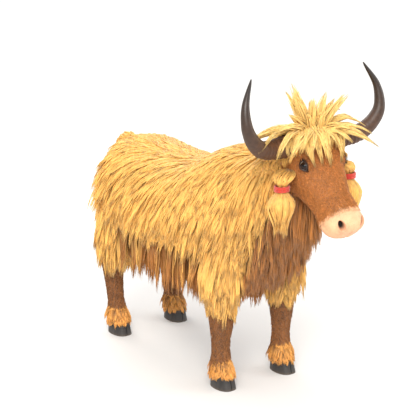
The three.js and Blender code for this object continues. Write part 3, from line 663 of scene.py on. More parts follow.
def shapeFace(skin):
    cutFiner(skin, whichForm(valuesOf(skin.data.polygons, "center")) == headForm)
    cutFiner(skin, nearFace(valuesOf(skin.data.polygons, "center")))
    p = getPoints(skin.data)
    form = whichForm(p)
    smoothWhere(skin, np.where(form == headForm, 1.0, 0.0), face["smoothed"])
    leafRoot = np.where((form == earForm) & (np.abs(p[:, 0]) < ear["rootTo"]), 1.0, 0.0)
    smoothWhere(skin, leafRoot, ear["smoothed"])
    p, normal = getPoints(skin.data), getNormals(skin.data)
    x, along, up = headFrame(p)
    length = head["length"]
    push = np.zeros(len(p))
    for a, wide, high, radius, height in face["bulges"]:
        away = ((along - a) * length) ** 2 + (np.abs(x) - wide) ** 2 + ((up - high) * length) ** 2
        push += height * np.exp(-away / (2 * radius**2))
    mouth = smoothStep(face["mouthCorner"] - 0.02, face["mouthCorner"] + 0.03, along)
    off = fromMouth(along, up)
    push -= mouth * face["grooveDeep"] * hump(off, face["grooveWide"])
    for lip in (-1, 1):
        push += mouth * face["lipHigh"] * hump(off - lip * face["lipAway"], face["lipWide"])
    front = smoothStep(*face["front"], along)
    push -= front * face["cleftDeep"] * hump(x, face["cleftWide"]) * (1 - smoothStep(*face["cleftUp"], up))
    push -= front * face["creaseDeep"] * np.clip(raggedness(p, face["creaseSize"]), 0, 1)
    push *= form == headForm
    setPoints(skin.data, wrapLids(carveNostrils(p + normal * push[:, None], form), form))
    smoothFaces(skin)


def nostrilFrame(side):
    # centre, the way it opens, across and up, with its upper end leaning outwards
    along, turn = nostril["along"], side * nostril["turn"]
    centre = headSurface(along, turn)
    away = np.cross(headSurface(along + 0.01, turn) - centre, headSurface(along, turn + 0.02) - centre)
    away = unit(away * np.sign(away @ (centre - headPoint(0, along - 0.1, 0))))
    away = unit(away + noseWay * nostril["forward"])
    leaning = np.array([side * math.tan(nostril["lean"]), 0, 1])
    upwards = unit(leaning - away * (leaning @ away))
    return centre, away, np.cross(upwards, away), upwards


def nostrilDepth(p):
    # 1 in the middle of a nostril, 0 at its rim, below that outside
    level = np.full(len(p), -9.0)
    for side in (1, -1):
        centre, away, across, upwards = nostrilFrame(side)
        q = p - centre
        m = ((q @ across) / nostril["wide"]) ** 2 + ((q @ upwards) / nostril["high"]) ** 2
        level = np.maximum(level, np.where(np.abs(q @ away) < nostril["reach"], 1 - np.sqrt(m), -9))
    return level


def carveNostrils(p, form):
    level = nostrilDepth(p)
    inward = smoothStep(*nostril["slope"], level) * nostril["deep"]
    rim = nostril["rim"] * hump(level - nostril["rimAt"], nostril["rimWide"])
    moved = p.copy()
    for side in (1, -1):
        here = (np.sign(p[:, 0]) == side) & (form == headForm)
        moved[here] += nostrilFrame(side)[1] * (rim - inward)[here][:, None]
    return moved


def eyeSlit(p, side):
    # how far each point lies from the middle of an eye's opening, 1 at its edge, how high over it, and
    # how far from the ball's centre
    centre, away, lengthways, upwards = eyeFrame(side)
    q = p - centre
    radius = np.maximum(np.linalg.norm(q, axis=1), 1e-6)
    s, t = q @ lengthways / radius, q @ upwards / radius
    high = eye["high"] * np.sqrt(np.clip(1 - 0.5 * (s / eye["long"]) ** 2, 0.3, 1))
    slit = np.sqrt((s / eye["long"]) ** 2 + (t / high) ** 2)
    return np.where(q @ away > 0, slit, 9.0), t, radius / eye["radius"]


def wrapLids(p, form):
    # skin outside the slit lies over the ball as a lid, with a fold where the lid meets the brow
    moved = p.copy()
    for side in (1, -1):
        centre = eyeFrame(side)[0]
        slit, t, radius = eyeSlit(p, side)
        near = (form == headForm) & (radius < eye["reach"])
        swell = eye["lidSwell"] * hump(slit - eye["lidSwellAt"], eye["lidSwellWide"])
        lid = 1 + eye["lid"] / eye["radius"] * (1 + swell)
        hold = 1 - smoothStep(*eye["hold"], radius)
        target = radius * (1 - hold) + lid * hold
        fold = hump(slit - eye["foldAt"], eye["foldWide"]) * smoothStep(*eye["foldFrom"], t)
        target = target - eye["fold"] / eye["radius"] * fold
        target = np.where(slit < 1, eye["well"], np.maximum(target, lid))
        moved[near] = (centre + (p - centre) * (target / radius)[:, None])[near]
    return moved


def unwrapSkin(skin):
    allInEdit(skin)
    bpy.ops.uv.smart_project(angle_limit=math.radians(66), island_margin=0.002)
    bpy.ops.object.mode_set(mode="OBJECT")


shapeFace(skin)
noteStage(f"face shaped, {triangles(skin)} triangles")
unwrapSkin(skin)
noteStage("skin unwrapped")


def paint(piece, name, values):
    layer = piece.data.color_attributes.new(name=name, type="FLOAT_COLOR", domain="POINT")
    full = np.ones((len(values), 4), np.float32)
    full[:, :3] = values
    layer.data.foreach_set("color", full.ravel())


def number(piece, name, values, kind="FLOAT", field="value"):
    layer = piece.data.attributes.new(name=name, type=kind, domain="POINT")
    layer.data.foreach_set(field, np.ascontiguousarray(values, np.float32).ravel())


def paintSkin(skin):
    p = getPoints(skin.data)
    form = whichForm(p)
    isHead = form == headForm
    colour, bare = markings(p, form)
    depth = nostrilDepth(p)
    # painted shade: the nostrils' hollows are painted near black from the rim inwards
    inNose = smoothStep(*face["nosePaint"], depth) * isHead
    x, along, up = headFrame(p)
    off = fromMouth(along, up)
    mouth = smoothStep(face["mouthCorner"], face["mouthCorner"] + 0.02, along) * isHead
    # painted shade: a thin near-black line in the crease between the lips; the dark rim round each eye below
    # is the lids' own dark skin
    dark = np.maximum(inNose, face["mouthDark"] * mouth * hump(off, face["mouthDarkWide"]))
    for side in (1, -1):
        slit, _, radius = eyeSlit(p, side)
        onLid = isHead * (radius < face["eyePaint"]) * (1 - smoothStep(*face["lidDarkTo"], slit))
        dark = np.maximum(dark, face["lidDark"] * onLid)
    blush = isHead * bare * np.exp(-np.clip(-depth, 0, 9) / face["blushAtNose"])
    blush = np.maximum(blush, bare * mouth * hump(off, face["blushAtMouth"])) * face["blush"]
    colour = blended(colour, palette["blush"], blush)
    cup = (form == earForm) * smoothStep(*face["earCup"], -getNormals(skin.data)[:, 1])
    colour = blended(colour, palette["ear"], face["earDark"] * cup)
    paint(skin, "coatColour", blended(colour, palette["nose"], dark))
    number(skin, "bare", np.maximum(bare, face["bareDark"] * dark) * (1 - inNose))
    # places stretched along the way the short hair lies, for its fine streaks
    combed = np.stack([x, up * head["length"], along * head["length"] * face["combed"]], axis=1)
    combed = np.where(isHead[:, None], combed, p * [1, 1, face["combed"]])
    number(skin, "combed", combed, "FLOAT_VECTOR", "vector")


paintSkin(skin)
noteStage("skin painted")


def standsFor(piece, slot, *nodes):
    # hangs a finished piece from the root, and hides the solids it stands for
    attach(piece, "root")
    if nodes:
        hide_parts(*nodes)
    return piece


# Eyes: a ball with a brown iris, a level slot of a pupil and a little white at the corners.
def makeEye(side):
    centre, away = eyeFrame(side)[:2]
    startClean()
    bpy.ops.mesh.primitive_uv_sphere_add(
        segments=eye["segments"], ring_count=eye["rings"], radius=eye["radius"], location=centre
    )
    ball = bpy.context.object
    ball.name = "eye" + sideWord(side)
    applyPlace()
    look = unit(away + np.array([0, -eye["forward"], 0]))
    level = unit(np.cross(look, np.array([0, 0, 1.0])))  # the pupil lies level, however the head is held
    height = np.cross(look, level)
    q = (getPoints(ball.data) - centre) / eye["radius"]
    fromPupil = np.arccos(np.clip(q @ look, -1, 1))
    swell = hump(fromPupil, eye["bulgeWide"]) * eye["bulge"]
    setPoints(ball.data, centre + q * (eye["radius"] * (1 + swell))[:, None])
    number(ball, "fromPupil", fromPupil)
    number(ball, "pupilLong", q @ level)
    number(ball, "pupilHigh", q @ height)
    smoothFaces(ball)
    return standsFor(ball, "eye", "eye_" + sideWord(side).lower())


down = np.array([0, 0, -1.0])

# The dark, wet edges of the lids, and the lashes of the upper one.
lids = {
    "rings": 56, "sides": 10, "edge": tall(0.0018), "upper": 1.15, "lower": 0.9, "lift": 0.6,
    "lashes": 44, "lashLong": (0.014, 0.022), "lashWide": 0.0007, "lashSteps": 4, "lashFrom": 0.06,
    "lashSpan": 0.88, "lashUp": 0.35, "lashOut": 0.4, "curlUp": 0.45, "curlDown": 0.2,
}


def lidEdgePoint(side, turn):
    centre, away, lengthways, upwards = eyeFrame(side)
    s = math.cos(turn) * eye["long"]
    t = math.sin(turn) * eye["high"] * math.sqrt(max(0.3, 1 - 0.5 * math.cos(turn) ** 2))
    way = lengthways * s + upwards * t + away * math.sqrt(max(0.02, 1 - s * s - t * t))
    return centre + unit(way) * (eye["radius"] + eye["lid"] * lids["lift"])


def makeLidEdge(side):
    turns = np.linspace(0, 2 * math.pi, lids["rings"], endpoint=False)
    points = [lidEdgePoint(side, t) for t in turns]
    thick = [lids["edge"] * (lids["upper"] if math.sin(t) > 0 else lids["lower"]) for t in turns]
    rim = tube("lidEdge" + sideWord(side), points, thick, lids["sides"], closed=True)
    smoothFaces(rim)
    return standsFor(rim, "eye")


# Horns: out, up and in, with worn rings from the root to past the bend.
horn = {
    "points": [(0.05, -0.672, 1.075), (0.15, -0.68, 1.068), (0.25, -0.7, 1.085), (0.315, -0.715, 1.16),
               (0.318, -0.7, 1.25), (0.27, -0.67, 1.345)],
    "root": tall(0.044), "tip": tall(0.002), "taper": 0.75, "rings": 150, "spread": 0.92, "sides": 40,
    "ridges": 34, "ridgeHigh": 0.045, "ridgeStart": 0.2, "ridgeEnd": 0.62, "uneven": 0.03, "unevenSize": 0.03,
    "near": 1.5, "every": 3, "hairOver": 1.08, "hairOff": 0.004, "rootedIn": 0.006,
}


def hornCourse(side):
    # the rings' shares of the horn's length, their middles and their radii without the ridges
    points = mirrored(horn["points"], side)
    shares = np.linspace(0, 1, horn["rings"]) ** horn["spread"]
    line = np.array([onCurve(points, t) for t in shares])
    return shares, line, horn["root"] * (1 - shares) ** horn["taper"] + horn["tip"]


def makeHorn(side):
    shares, line, radii = hornCourse(side)
    fade = 1 - smoothStep(horn["ridgeStart"], horn["ridgeEnd"], shares)
    wave = np.sin(2 * math.pi * horn["ridges"] * shares + 1.2 * np.sin(9 * shares))
    wave += 0.5 * np.sin(2 * math.pi * horn["ridges"] * 0.37 * shares + 2)  # a slower swell over the ridges
    radii = radii * (1 + horn["ridgeHigh"] * fade * wave)
    piece = tube("horn" + sideWord(side), line, radii, horn["sides"])
    p = getPoints(piece.data)
    nearest = np.argmin(np.linalg.norm(p[:, None, :] - line[None], axis=2), axis=1)
    number(piece, "alongHorn", shares[nearest])
    off = p - line[nearest]
    uneven = 1 + horn["uneven"] * raggedness(p, horn["unevenSize"])
    setPoints(piece.data, line[nearest] + off * uneven[:, None])
    smoothFaces(piece)
    return standsFor(piece, "horn", "horn_" + sideWord(side).lower())


# Hoofs: each claw flat on its inner wall, blunt in front, with rings down its wall.
hoof = {
    "wide": tall(0.041), "long": tall(0.062), "taperWide": 0.12, "taperLong": 0.14, "toe": tall(0.006),
    "slit": 0.002, "layers": 15, "ring": 0.012, "ringTurns": 9.5, "sides": 44, "merge": 0.0004,
    "bevel": 0.004, "bevelSteps": 3, "sharp": 50,
}


def clawOutline(angle):
    # angle 0 is the heel, behind, and a quarter turn is the outer wall
    s, c = math.sin(angle), math.cos(angle)
    return (abs(s) ** 0.8 if s > 0 else 0.0), math.copysign(abs(c) ** (0.85 if c < 0 else 1.0), c)


def makeClaw(which, side, wing):
    inner = side if wing == "outer" else -side
    z = legs["coronet"]
    middle = place(side * tableValue(legs[which], 1, z), tableValue(legs[which], 2, z), 0)
    rings = []
    for i in range(hoof["layers"]):
        t = i / (hoof["layers"] - 1)
        grown = 1 + hoof["ring"] * math.sin(hoof["ringTurns"] * t * math.pi) * math.sin(math.pi * t)
        wide = hoof["wide"] * (1 - hoof["taperWide"] * t) * grown
        long = hoof["long"] * (1 - hoof["taperLong"] * t) * grown
        rings.append((t * tall(z), 0, -hoof["toe"] * (1 - t), wide, long))
    name = f"hoof{which.title()}{sideWord(side)}{wing.title()}"
    piece = drawnOut(name, rings, "Z", hoof["sides"], clawOutline)
    p = getPoints(piece.data)
    p[:, 0] = middle[0] + inner * (hoof["slit"] + p[:, 0])
    p[:, 1] += middle[1]
    setPoints(piece.data, p)
    outwards(piece, hoof["merge"])
    modified(
        piece, "BEVEL", width=hoof["bevel"], segments=hoof["bevelSteps"],
        limit_method="ANGLE", angle_limit=math.radians(hoof["sharp"])
    )
    p = getPoints(piece.data)
    p[:, 2] = np.maximum(p[:, 2], 0)
    setPoints(piece.data, p)
    number(piece, "upHoof", p[:, 2] / tall(z))
    smoothFaces(piece, hoof["sharp"])
    return standsFor(piece, "hoof", f"{which}leg_{sideWord(side).lower()}_claw_{wing}")


# Wool bands: a plied cord wound round the waist of each side lock.
sideLock = {
    "points": [(0.085, -0.69, 0.985), (0.15, -0.718, 0.955), (0.168, -0.725, 0.885), (0.172, -0.727, 0.72)],
    "waist": tall(0.022), "band": 0.5,
}
band = {
    "high": tall(0.027), "turns": 4, "cord": 0.0037, "steps": 72, "sides": 12, "plies": 3, "twist": 9,
    "plyHigh": 0.14, "outside": tall(0.0055), "wander": 0.0009, "tuck": 0.16,
}


def nearestOf(points, asked):
    # for each place asked for, which of the points lies nearest to it
    tree = KDTree(len(points))
    for i, p in enumerate(points):
        tree.insert(p, i)
    tree.balance()
    return np.array([tree.find(p)[1] for p in asked])


def sideLockPoint(side, t):
    return onCurve(mirrored(sideLock["points"], side), t)


def makeBand(side):
    middle = sideLockPoint(side, sideLock["band"])
    count = band["turns"] * band["steps"]
    share = np.linspace(0, 1, count)
    turn = share * band["turns"] * 2 * math.pi
    reach = sideLock["waist"] + band["outside"] + band["wander"] * np.sin(turn * 0.37 + 1)
    tuck = 1 - band["tuck"] * (smoothStep(0.03, 0, share) + smoothStep(0.97, 1, share))
    points = np.stack([
        middle[0] + reach * tuck * np.cos(turn), middle[1] + reach * tuck * np.sin(turn),
        middle[2] + (share - 0.5) * (band["high"] - 2 * band["cord"]),
    ], axis=1)
    cord = tube("band" + sideWord(side), points, [band["cord"]] * count, band["sides"])
    # its plies twist round the cord
    p = getPoints(cord.data)
    nearest = nearestOf(points, p)
    core = points[nearest]
    q = p - core
    outward = unit(core[:, :2] - middle[:2])
    around = np.arctan2(q[:, 2], np.sum(q[:, :2] * outward, axis=1))
    ply = 1 + band["plyHigh"] * np.cos(band["plies"] * around + turn[nearest] * band["twist"])
    setPoints(cord.data, core + q * ply[:, None])
    smoothFaces(cord)
    return standsFor(cord, "red_band", "red_band_" + sideWord(side).lower())


def lashPaths():
    # places along each lash of both upper lids, and the way out from the eye
    paths, outs = [], []
    for side in (1, -1):
        centre, _, lengthways, upwards = eyeFrame(side)
        for i in range(lids["lashes"]):
            share = (i + random.uniform(0, 0.8)) / lids["lashes"]
            turn = math.pi * (lids["lashFrom"] + lids["lashSpan"] * share)
            root = lidEdgePoint(side, turn)
            out = unit(root - centre)
            way = unit(out + upwards * lids["lashUp"] + lengthways * math.cos(turn) * lids["lashOut"])
            long = random.uniform(*lids["lashLong"]) * (0.7 + 0.3 * math.sin(turn))
            curl = upwards * lids["curlUp"] + down * lids["curlDown"]
            share = np.linspace(0, 1, lids["lashSteps"])[:, None]
            paths.append(root + way * share * long + curl * share**2 * long)
            outs.append(out)
    return np.array(paths), np.array(outs)


eyes = [makeEye(side) for side in (1, -1)]
lidEdges = [makeLidEdge(side) for side in (1, -1)]
horns = [makeHorn(side) for side in (1, -1)]
bands = [makeBand(side) for side in (1, -1)]
claws = [
    makeClaw(which, side, wing)
    for which in ("fore", "hind") for side in (1, -1) for wing in ("inner", "outer")
]
noteStage("eyes, horns, bands and hoofs made")

flesh = ["head", "muzzle", "ear_left", "ear_right", "neck", "throat", "torso_back", "torso_belly", "tail"]
flesh += [
    f"{which}leg_{word}_{part}"
    for which in ("fore", "hind") for word in ("left", "right") for part in ("upper", "cannon", "pastern")
]
standsFor(skin, "coat_brown", *flesh)


# The coat. Roots are scattered over the skin, and each strand follows the lock nearest to it.
class SkinMap:
    def __init__(self, piece):
        mesh = piece.data
        mesh.calc_loop_triangles()
        small = mesh.loop_triangles
        self.corners, self.area = valuesOf(small, "vertices", 3, int), valuesOf(small, "area", 1)[:, 0]
        self.uv = valuesOf(mesh.uv_layers[0].data, "uv", 2)[valuesOf(small, "loops", 3, int)]
        self.points, self.normals = getPoints(mesh), getNormals(mesh)
        self.middles = self.points[self.corners].mean(axis=1)
        self.form = whichForm(self.middles)
        self.tree = BVHTree.FromPolygons(self.points.tolist(), self.corners.tolist(), all_triangles=True)

    def scatter(self, count, weight):
        # places, normals and unwrap places of count roots, as dense as the weight asks
        share = self.area * weight
        pick = random.choice(len(share), count, p=share / share.sum())
        a, b = random.random((2, count, 1))
        flip = a + b > 1
        a, b = np.where(flip, 1 - a, a), np.where(flip, 1 - b, b)
        parts = (1 - a - b, a, b)
        corner = self.corners[pick]
        p = sum(w * self.points[corner[:, k]] for k, w in enumerate(parts))
        n = unit(sum(w * self.normals[corner[:, k]] for k, w in enumerate(parts)))
        uv = sum(w * self.uv[pick, k] for k, w in enumerate(parts))
        return p, n, uv

    def unwrapUnder(self, points):
        # the unwrap place of the skin nearest to each point
        tri = np.array([self.tree.find_nearest(p)[2] for p in points.tolist()])
        return self.uv[tri].mean(axis=1)


skinMap = SkinMap(skin)


# Where one kind of hair ends and the next begins, in shares of the height or of the head's length,
# and how far it keeps from the eyes.
borders = {
    "mane": -0.43, "chest": -0.4, "hoof": 0.06, "face": (0.05, 0.03), "poll": 0.09,
    "eyeSlit": 1.45, "eyeBall": 1.6,
}


def kindWeights():
    # which small faces of the skin belong to each kind of hair
    p, form = skinMap.middles, skinMap.form
    _, y, z = sharesOf(p)
    along = headFrame(p)[1]
    gold = z > mantleEdge(p)
    isLeg = (form == foreForm) | (form == hindForm)
    front = y < borders["mane"]
    clear = np.ones(len(p), bool)  # of both eyes and their lids
    for side in (1, -1):
        slit, _, radius = eyeSlit(p, side)
        clear &= (slit > borders["eyeSlit"]) | (radius > borders["eyeBall"])
    faceStart, ontoMuzzle = borders["face"]
    isFace = (along > faceStart) & (along < head["muzzleRoot"] + ontoMuzzle)
    return {
        "back": (form == trunkForm) & gold & ~front,
        "mane": (form == trunkForm) & gold & front,
        "chest": (form == trunkForm) & ~gold & (y < borders["chest"]),
        "skirt": (form == trunkForm) & ~gold & (y >= borders["chest"]),
        "forearm": (form == foreForm) & (z > legs["joint"]),
        "thigh": (form == hindForm) & (z > legs["joint"]),
        "shank": isLeg & (z <= legs["joint"]) & (z > legs["fetlock"]),
        "cuff": isLeg & (z <= legs["fetlock"]) & (z > borders["hoof"]),
        "face": (form == headForm) & clear & isFace,
        "poll": (form == headForm) & (along <= borders["poll"]),
        "ear": form == earForm,
        "dock": form == dockForm,
    }


# For each kind: strands, locks, length in shares of the height, how far it stands up in degrees,
# how fast it falls, how far its tips gather, half width of a strand, waviness, height off the skin
# and rings of a strand. A hem is the level its tips stay above, from the mantle's edge if negative.
coat = {
    "back": dict(strands=18000, locks=1450, long=(0.11, 0.22), rise=11, fall=0.2, gather=0.58, wide=0.0033,
                 wave=0.007, lift=0.014, rings=4, hem=(-0.115, -0.005)),
    "mane": dict(strands=6600, locks=410, long=(0.15, 0.26), rise=16, fall=0.24, gather=0.6, wide=0.0033,
                 wave=0.008, lift=0.018, rings=4, hem=(-0.13, -0.02)),
    "chest": dict(strands=4600, locks=360, long=(0.12, 0.2), rise=16, fall=0.36, gather=0.66, wide=0.0034,
                  wave=0.007, lift=0.016, rings=4),
    "skirt": dict(strands=6300, locks=480, long=(0.12, 0.22), rise=12, fall=0.44, gather=0.66, wide=0.0037,
                  wave=0.008, lift=0.014, rings=4),
    "forearm": dict(strands=3600, locks=150, long=(0.1, 0.2), rise=15, fall=0.32, gather=0.84, wide=0.0033,
                    wave=0.005, lift=0.014, rings=3, hem=(0.245, 0.36), least=0.06),
    "thigh": dict(strands=4400, locks=230, long=(0.12, 0.22), rise=15, fall=0.32, gather=0.78, wide=0.0034,
                  wave=0.006, lift=0.016, rings=3, hem=(0.25, 0.39), least=0.06),
    "shank": dict(strands=6500, locks=2400, long=(0.015, 0.023), rise=9, fall=0.05, gather=0.15, wide=0.0019,
                  wave=0.0, lift=0.001, rings=2, stray=0.1, sunk=0.001),
    "cuff": dict(strands=3800, locks=230, long=(0.045, 0.07), rise=24, fall=0.26, gather=0.6, wide=0.0026,
                 wave=0.003, lift=0.01, rings=3, hem=(0.03, 0.044)),
    "face": dict(strands=12000, locks=4500, long=(0.012, 0.019), rise=8, fall=0.0, gather=0.15, wide=0.0018,
                 wave=0.0, lift=0.0008, rings=2, stray=0.12, sunk=0.001),
    "poll": dict(strands=1800, locks=130, long=(0.05, 0.09), rise=18, fall=0.1, gather=0.5, wide=0.0032,
                 wave=0.003, lift=0.01, rings=3),
    "ear": dict(strands=2000, locks=240, long=(0.018, 0.04), rise=8, fall=0.3, gather=0.35, wide=0.0023,
                wave=0.002, lift=0.001, rings=3, sunk=0.002),
    "dock": dict(strands=700, locks=60, long=(0.1, 0.17), rise=14, fall=0.4, gather=0.6, wide=0.0033,
                 wave=0.004, lift=0.012, rings=3),
}
growth = {
    "steps": 6, "sunk": 0.004, "stray": 0.2, "sway": 0.05, "keepOff": 0.6, "least": 0.035, "short": 0.66,
    "long": 1.04, "roof": 0.9, "ground": 0.001, "patch": 0.003, "tonePatch": 0.11, "toneUneven": 0.13,
    "toneRandom": 0.06, "ringPower": 0.9, "closing": 1.15, "waves": 7.5, "leastTurn": 0.15,
}
# Hair whose tips end at a level of their own: that level, how ragged it is, how much higher it
# is at the flanks and under the neck, and the least and most length.
tips = {
    "skirt": {"level": 0.285, "ragged": 0.075, "flank": 0.02, "ahead": 0, "long": (0.08, 0.27)},
    "chest": {"level": 0.35, "ragged": 0.04, "flank": 0, "ahead": 0.75, "long": (0.05, 0.19)},
}
# The way each kind of hair lies: outwards, backwards, upwards, and more of the last towards the
# flanks. Outwards grows with the distance from the middle, levels off, or is one value a side.
combing = {
    "dock": ("far", 0.4, 0.3, -1, 0), "back": ("far", 0.5, 0.75, -0.25, -1.1),
    "mane": ("far", 0.5, 0.35, -0.3, -1.1), "poll": ("soft", 0.5, 0.25, -0.5, 0),
    "face": ("soft", 0.35, 0.15, -0.1, 0), "ear": ("side", 0.9, 0.2, -0.8, 0),
    "cuff": ("side", 0, 0.1, -1, 0), "other": ("side", 0.1, 0.22, -1, 0),
}


def lieOf(kind, p, n):
    # the way the hair lies, along the skin
    x = p[:, 0] / tall(0.2)
    manner, outwardly, backwards, upwards, flank = combing.get(kind, combing["other"])
    spread = {"far": x, "soft": np.tanh(x / 0.25), "side": np.sign(x)}[manner]
    way = np.stack([outwardly * spread, np.full(len(p), backwards), flank * np.abs(x) + upwards], axis=1)
    if kind == "poll":
        way += noseWay * np.tanh((headFrame(p)[1] + 0.03) / 0.03)[:, None]
    elif kind == "face":
        way += noseWay
    way = way - n * np.sum(way * n, axis=1, keepdims=True)
    short = np.linalg.norm(way, axis=1) < growth["leastTurn"]
    way[short] += np.array([0, 0.3, 0])  # straight back where the skin faces the way it would lie
    return unit(way)


def lengthOf(kind, p):
    # length of each lock in metres
    look = coat[kind]
    low, high = look["long"]
    long = tall(low + (high - low) * random.random(len(p)) ** 1.4)
    (x, y, z), spread = sharesOf(p), random.random(len(p))
    if kind == "back":
        long *= 0.72 + 0.6 * smoothStep(0.95, 0.68, z)  # longer down the flanks
    if kind in tips:
        end = tips[kind]
        tip = end["level"] + end["ahead"] * np.clip(borders["mane"] - y, 0, 0.3) + end["ragged"] * spread
        tip += end["flank"] * smoothStep(0.1, 0.24, np.abs(x))
        long = np.clip(tall(z - tip), tall(end["long"][0]), tall(end["long"][1]))
    if "hem" in look:
        low, high = look["hem"]
        tip = low + (high - low) * spread + (mantleEdge(p) if low < 0 else 0)
        long = np.minimum(long, np.maximum(tall(z - tip), tall(look.get("least", growth["least"]))))
    return long


def growLocks(kind, roots, normals):
    # the line of each lock, which falls as it grows and is kept off the skin
    look = coat[kind]
    lie = lieOf(kind, roots, normals)
    side = np.cross(normals, lie)
    lie = unit(lie + side * random.normal(0, look.get("stray", growth["stray"]), (len(roots), 1)))
    rise = np.radians(look["rise"] * (0.4 + 1.2 * random.random((len(roots), 1)) ** 1.5))
    way = unit(lie * np.cos(rise) + normals * np.sin(rise))
    step = (lengthOf(kind, roots) / growth["steps"])[:, None]
    at = roots - normals * look.get("sunk", growth["sunk"])
    line = [at]
    for k in range(1, growth["steps"] + 1):
        sway = random.normal(0, growth["sway"], way.shape) * (look["wave"] > 0)
        way = unit(way + down * look["fall"] + sway)
        ahead = at + way * step
        clear = look["lift"] * (k / growth["steps"]) ** 0.7 * growth["keepOff"]
        for i, q in enumerate(ahead.tolist()):
            near, up, _, _ = skinMap.tree.find_nearest(q)
            if (Vector(q) - near).dot(up) < clear:
                ahead[i] = near + up * clear
        way = unit(ahead - at)
        at = at + way * step
        line.append(at)
    return np.stack(line, axis=1)


def alongLocks(lines, share):
    # places on polylines (n, steps + 1, 3) at shares (n, k) of their length
    reach = share * (lines.shape[1] - 1)
    low = np.clip(reach.astype(int), 0, lines.shape[1] - 2)
    t = (reach - low)[..., None]
    n = np.arange(len(lines))[:, None]
    return lines[n, low] * (1 - t) + lines[n, low + 1] * t


def strandPaths(lines, owner, offset, look):
    # each strand keeps beside its lock and closes in on it towards the tip
    count, rings = len(owner), look["rings"]
    places = np.linspace(0, 1, rings + 1) ** growth["ringPower"]
    short = look.get("short", growth["short"])
    long = short + (growth["long"] - short) * random.random((count, 1)) ** 0.8
    share = np.clip(places[None] * long, 0, 1)
    path = alongLocks(lines[owner], share)
    gather = look["gather"] * (0.6 + 0.6 * random.random((count, 1)))
    keep = 1 - np.clip(gather, 0, 0.95) * share ** growth["closing"]
    keep *= 1 - look.get("rooted", 0) * (1 - smoothStep(0, 0.3, share))
    path = path + offset[:, None, :] * keep[..., None]
    phase = random.random((count, 1)) * 6.28  # about one turn
    sway = look["wave"] * np.sin(phase + share * growth["waves"]) * share
    across = unit(np.cross(lines[owner, -1] - lines[owner, 0], random.normal(0, 1, (count, 3))))
    return path + across[:, None, :] * sway[..., None]


def clearOfHorns(path):
    # hair that would run through a horn lies over it; hair rooted inside a horn stays there
    path = path.copy()
    for side in (1, -1):
        _, course, radii = hornCourse(side)
        line, radii = course[:: horn["every"]], radii[:: horn["every"]]
        margin = horn["root"] * horn["near"]
        near = ((path > course.min(axis=0) - margin) & (path < course.max(axis=0) + margin)).all(axis=2)
        away = path[near][:, None] - line[None]
        far = np.linalg.norm(away, axis=2)
        pick, rows = np.argmin(far, axis=1), np.arange(len(far))
        room = radii[pick] * horn["hairOver"] + horn["hairOff"]
        short = np.maximum(0, room - far[rows, pick]) * (pick > 0)
        push = np.zeros_like(path)
        push[near] = unit(away[rows, pick]) * short[:, None]
        rootedInside = np.linalg.norm(push[:, 0], axis=1) > horn["rootedIn"]
        path += push * ~rootedInside[:, None, None]
    return path


def tuftMesh(name, path, wide, outWay, colour, rootUv):
    # one closed three-sided blade for each strand: rings of three, a tip and a root cap
    count, rings = path.shape[0], path.shape[1] - 1
    way = unit(np.concatenate([path[:, 1:2] - path[:, :1], path[:, 2:] - path[:, :-2]], axis=1))
    side = unit(np.cross(way, outWay[:, None, :]))
    up = np.cross(side, way)
    swell = np.sin(math.pi * (0.3 + 0.62 * np.linspace(0, 1, rings + 1)[:rings])) ** 0.8
    half = (wide[:, None] * swell[None])[..., None]
    core = path[:, :rings]
    corners = np.stack([core - side * half, core + side * half, core + up * half * growth["roof"]], axis=2)
    points = np.concatenate([corners.reshape(count, rings * 3, 3), path[:, -1:, :]], axis=1)
    points[..., 2] = np.maximum(points[..., 2], growth["ground"])
    # the faces of one blade: its walls, its root cap and its tip
    edges, last = ((0, 1), (1, 2), (2, 0)), 3 * rings - 3
    faces = [(k + i, k + 3 + i, k + 3 + j, k + j) for k in range(0, last, 3) for i, j in edges]
    faces += [(0, 1, 2)] + [(last + i, last + 3, last + j) for i, j in edges]
    pattern = np.concatenate(faces)
    blades = np.arange(count)[:, None]
    loops = (blades * (rings * 3 + 1) + pattern[None]).ravel()
    starts = np.cumsum([0] + [len(face) for face in faces[:-1]])
    starts = (blades * len(pattern) + starts[None]).ravel()
    mesh = bpy.data.meshes.new(name)
    mesh.vertices.add(points.shape[0] * points.shape[1])
    mesh.vertices.foreach_set("co", points.astype(np.float32).ravel())
    mesh.loops.add(len(loops))
    mesh.loops.foreach_set("vertex_index", loops.astype(np.int32))
    mesh.polygons.add(len(starts))
    mesh.polygons.foreach_set("loop_start", starts.astype(np.int32))
    mesh.update(calc_edges=True)
    mesh.polygons.foreach_set("use_smooth", np.ones(len(starts), bool))
    shade = np.repeat(colour, 3, axis=1)[:, : rings * 3]
    shade = np.concatenate([shade, colour[:, -1:, :]], axis=1)
    # the bake's patch: across the strand one way, root to tip the other
    patch = [((i - 1) / 2, k / rings - 0.5) for k in range(rings) for i in range(3)] + [(0, 0.5)]
    patch = np.array(patch) * growth["patch"]
    uv = np.clip(rootUv[:, None, :] + patch[None], 0.0005, 0.9995)[:, pattern].reshape(-1, 2)
    layer = mesh.uv_layers.new(name="OFBake")
    layer.data.foreach_set("uv", uv.astype(np.float32).ravel())
    piece = bpy.data.objects.new(name, mesh)
    bpy.context.scene.collection.objects.link(piece)
    paint(piece, "coatColour", shade.reshape(-1, 3))
    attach(piece, "root")
    return piece


# Shade of a strand from its root to its tip, and the sun-bleached tips of the long hair.
shades = {
    "root": 0.66, "tip": 1.22, "shortRoot": 0.95, "shortTip": 1.08, "bleach": (1.1, 1.08, 1.06),
    "own": 0.09, "shortOwn": 0.05,
}


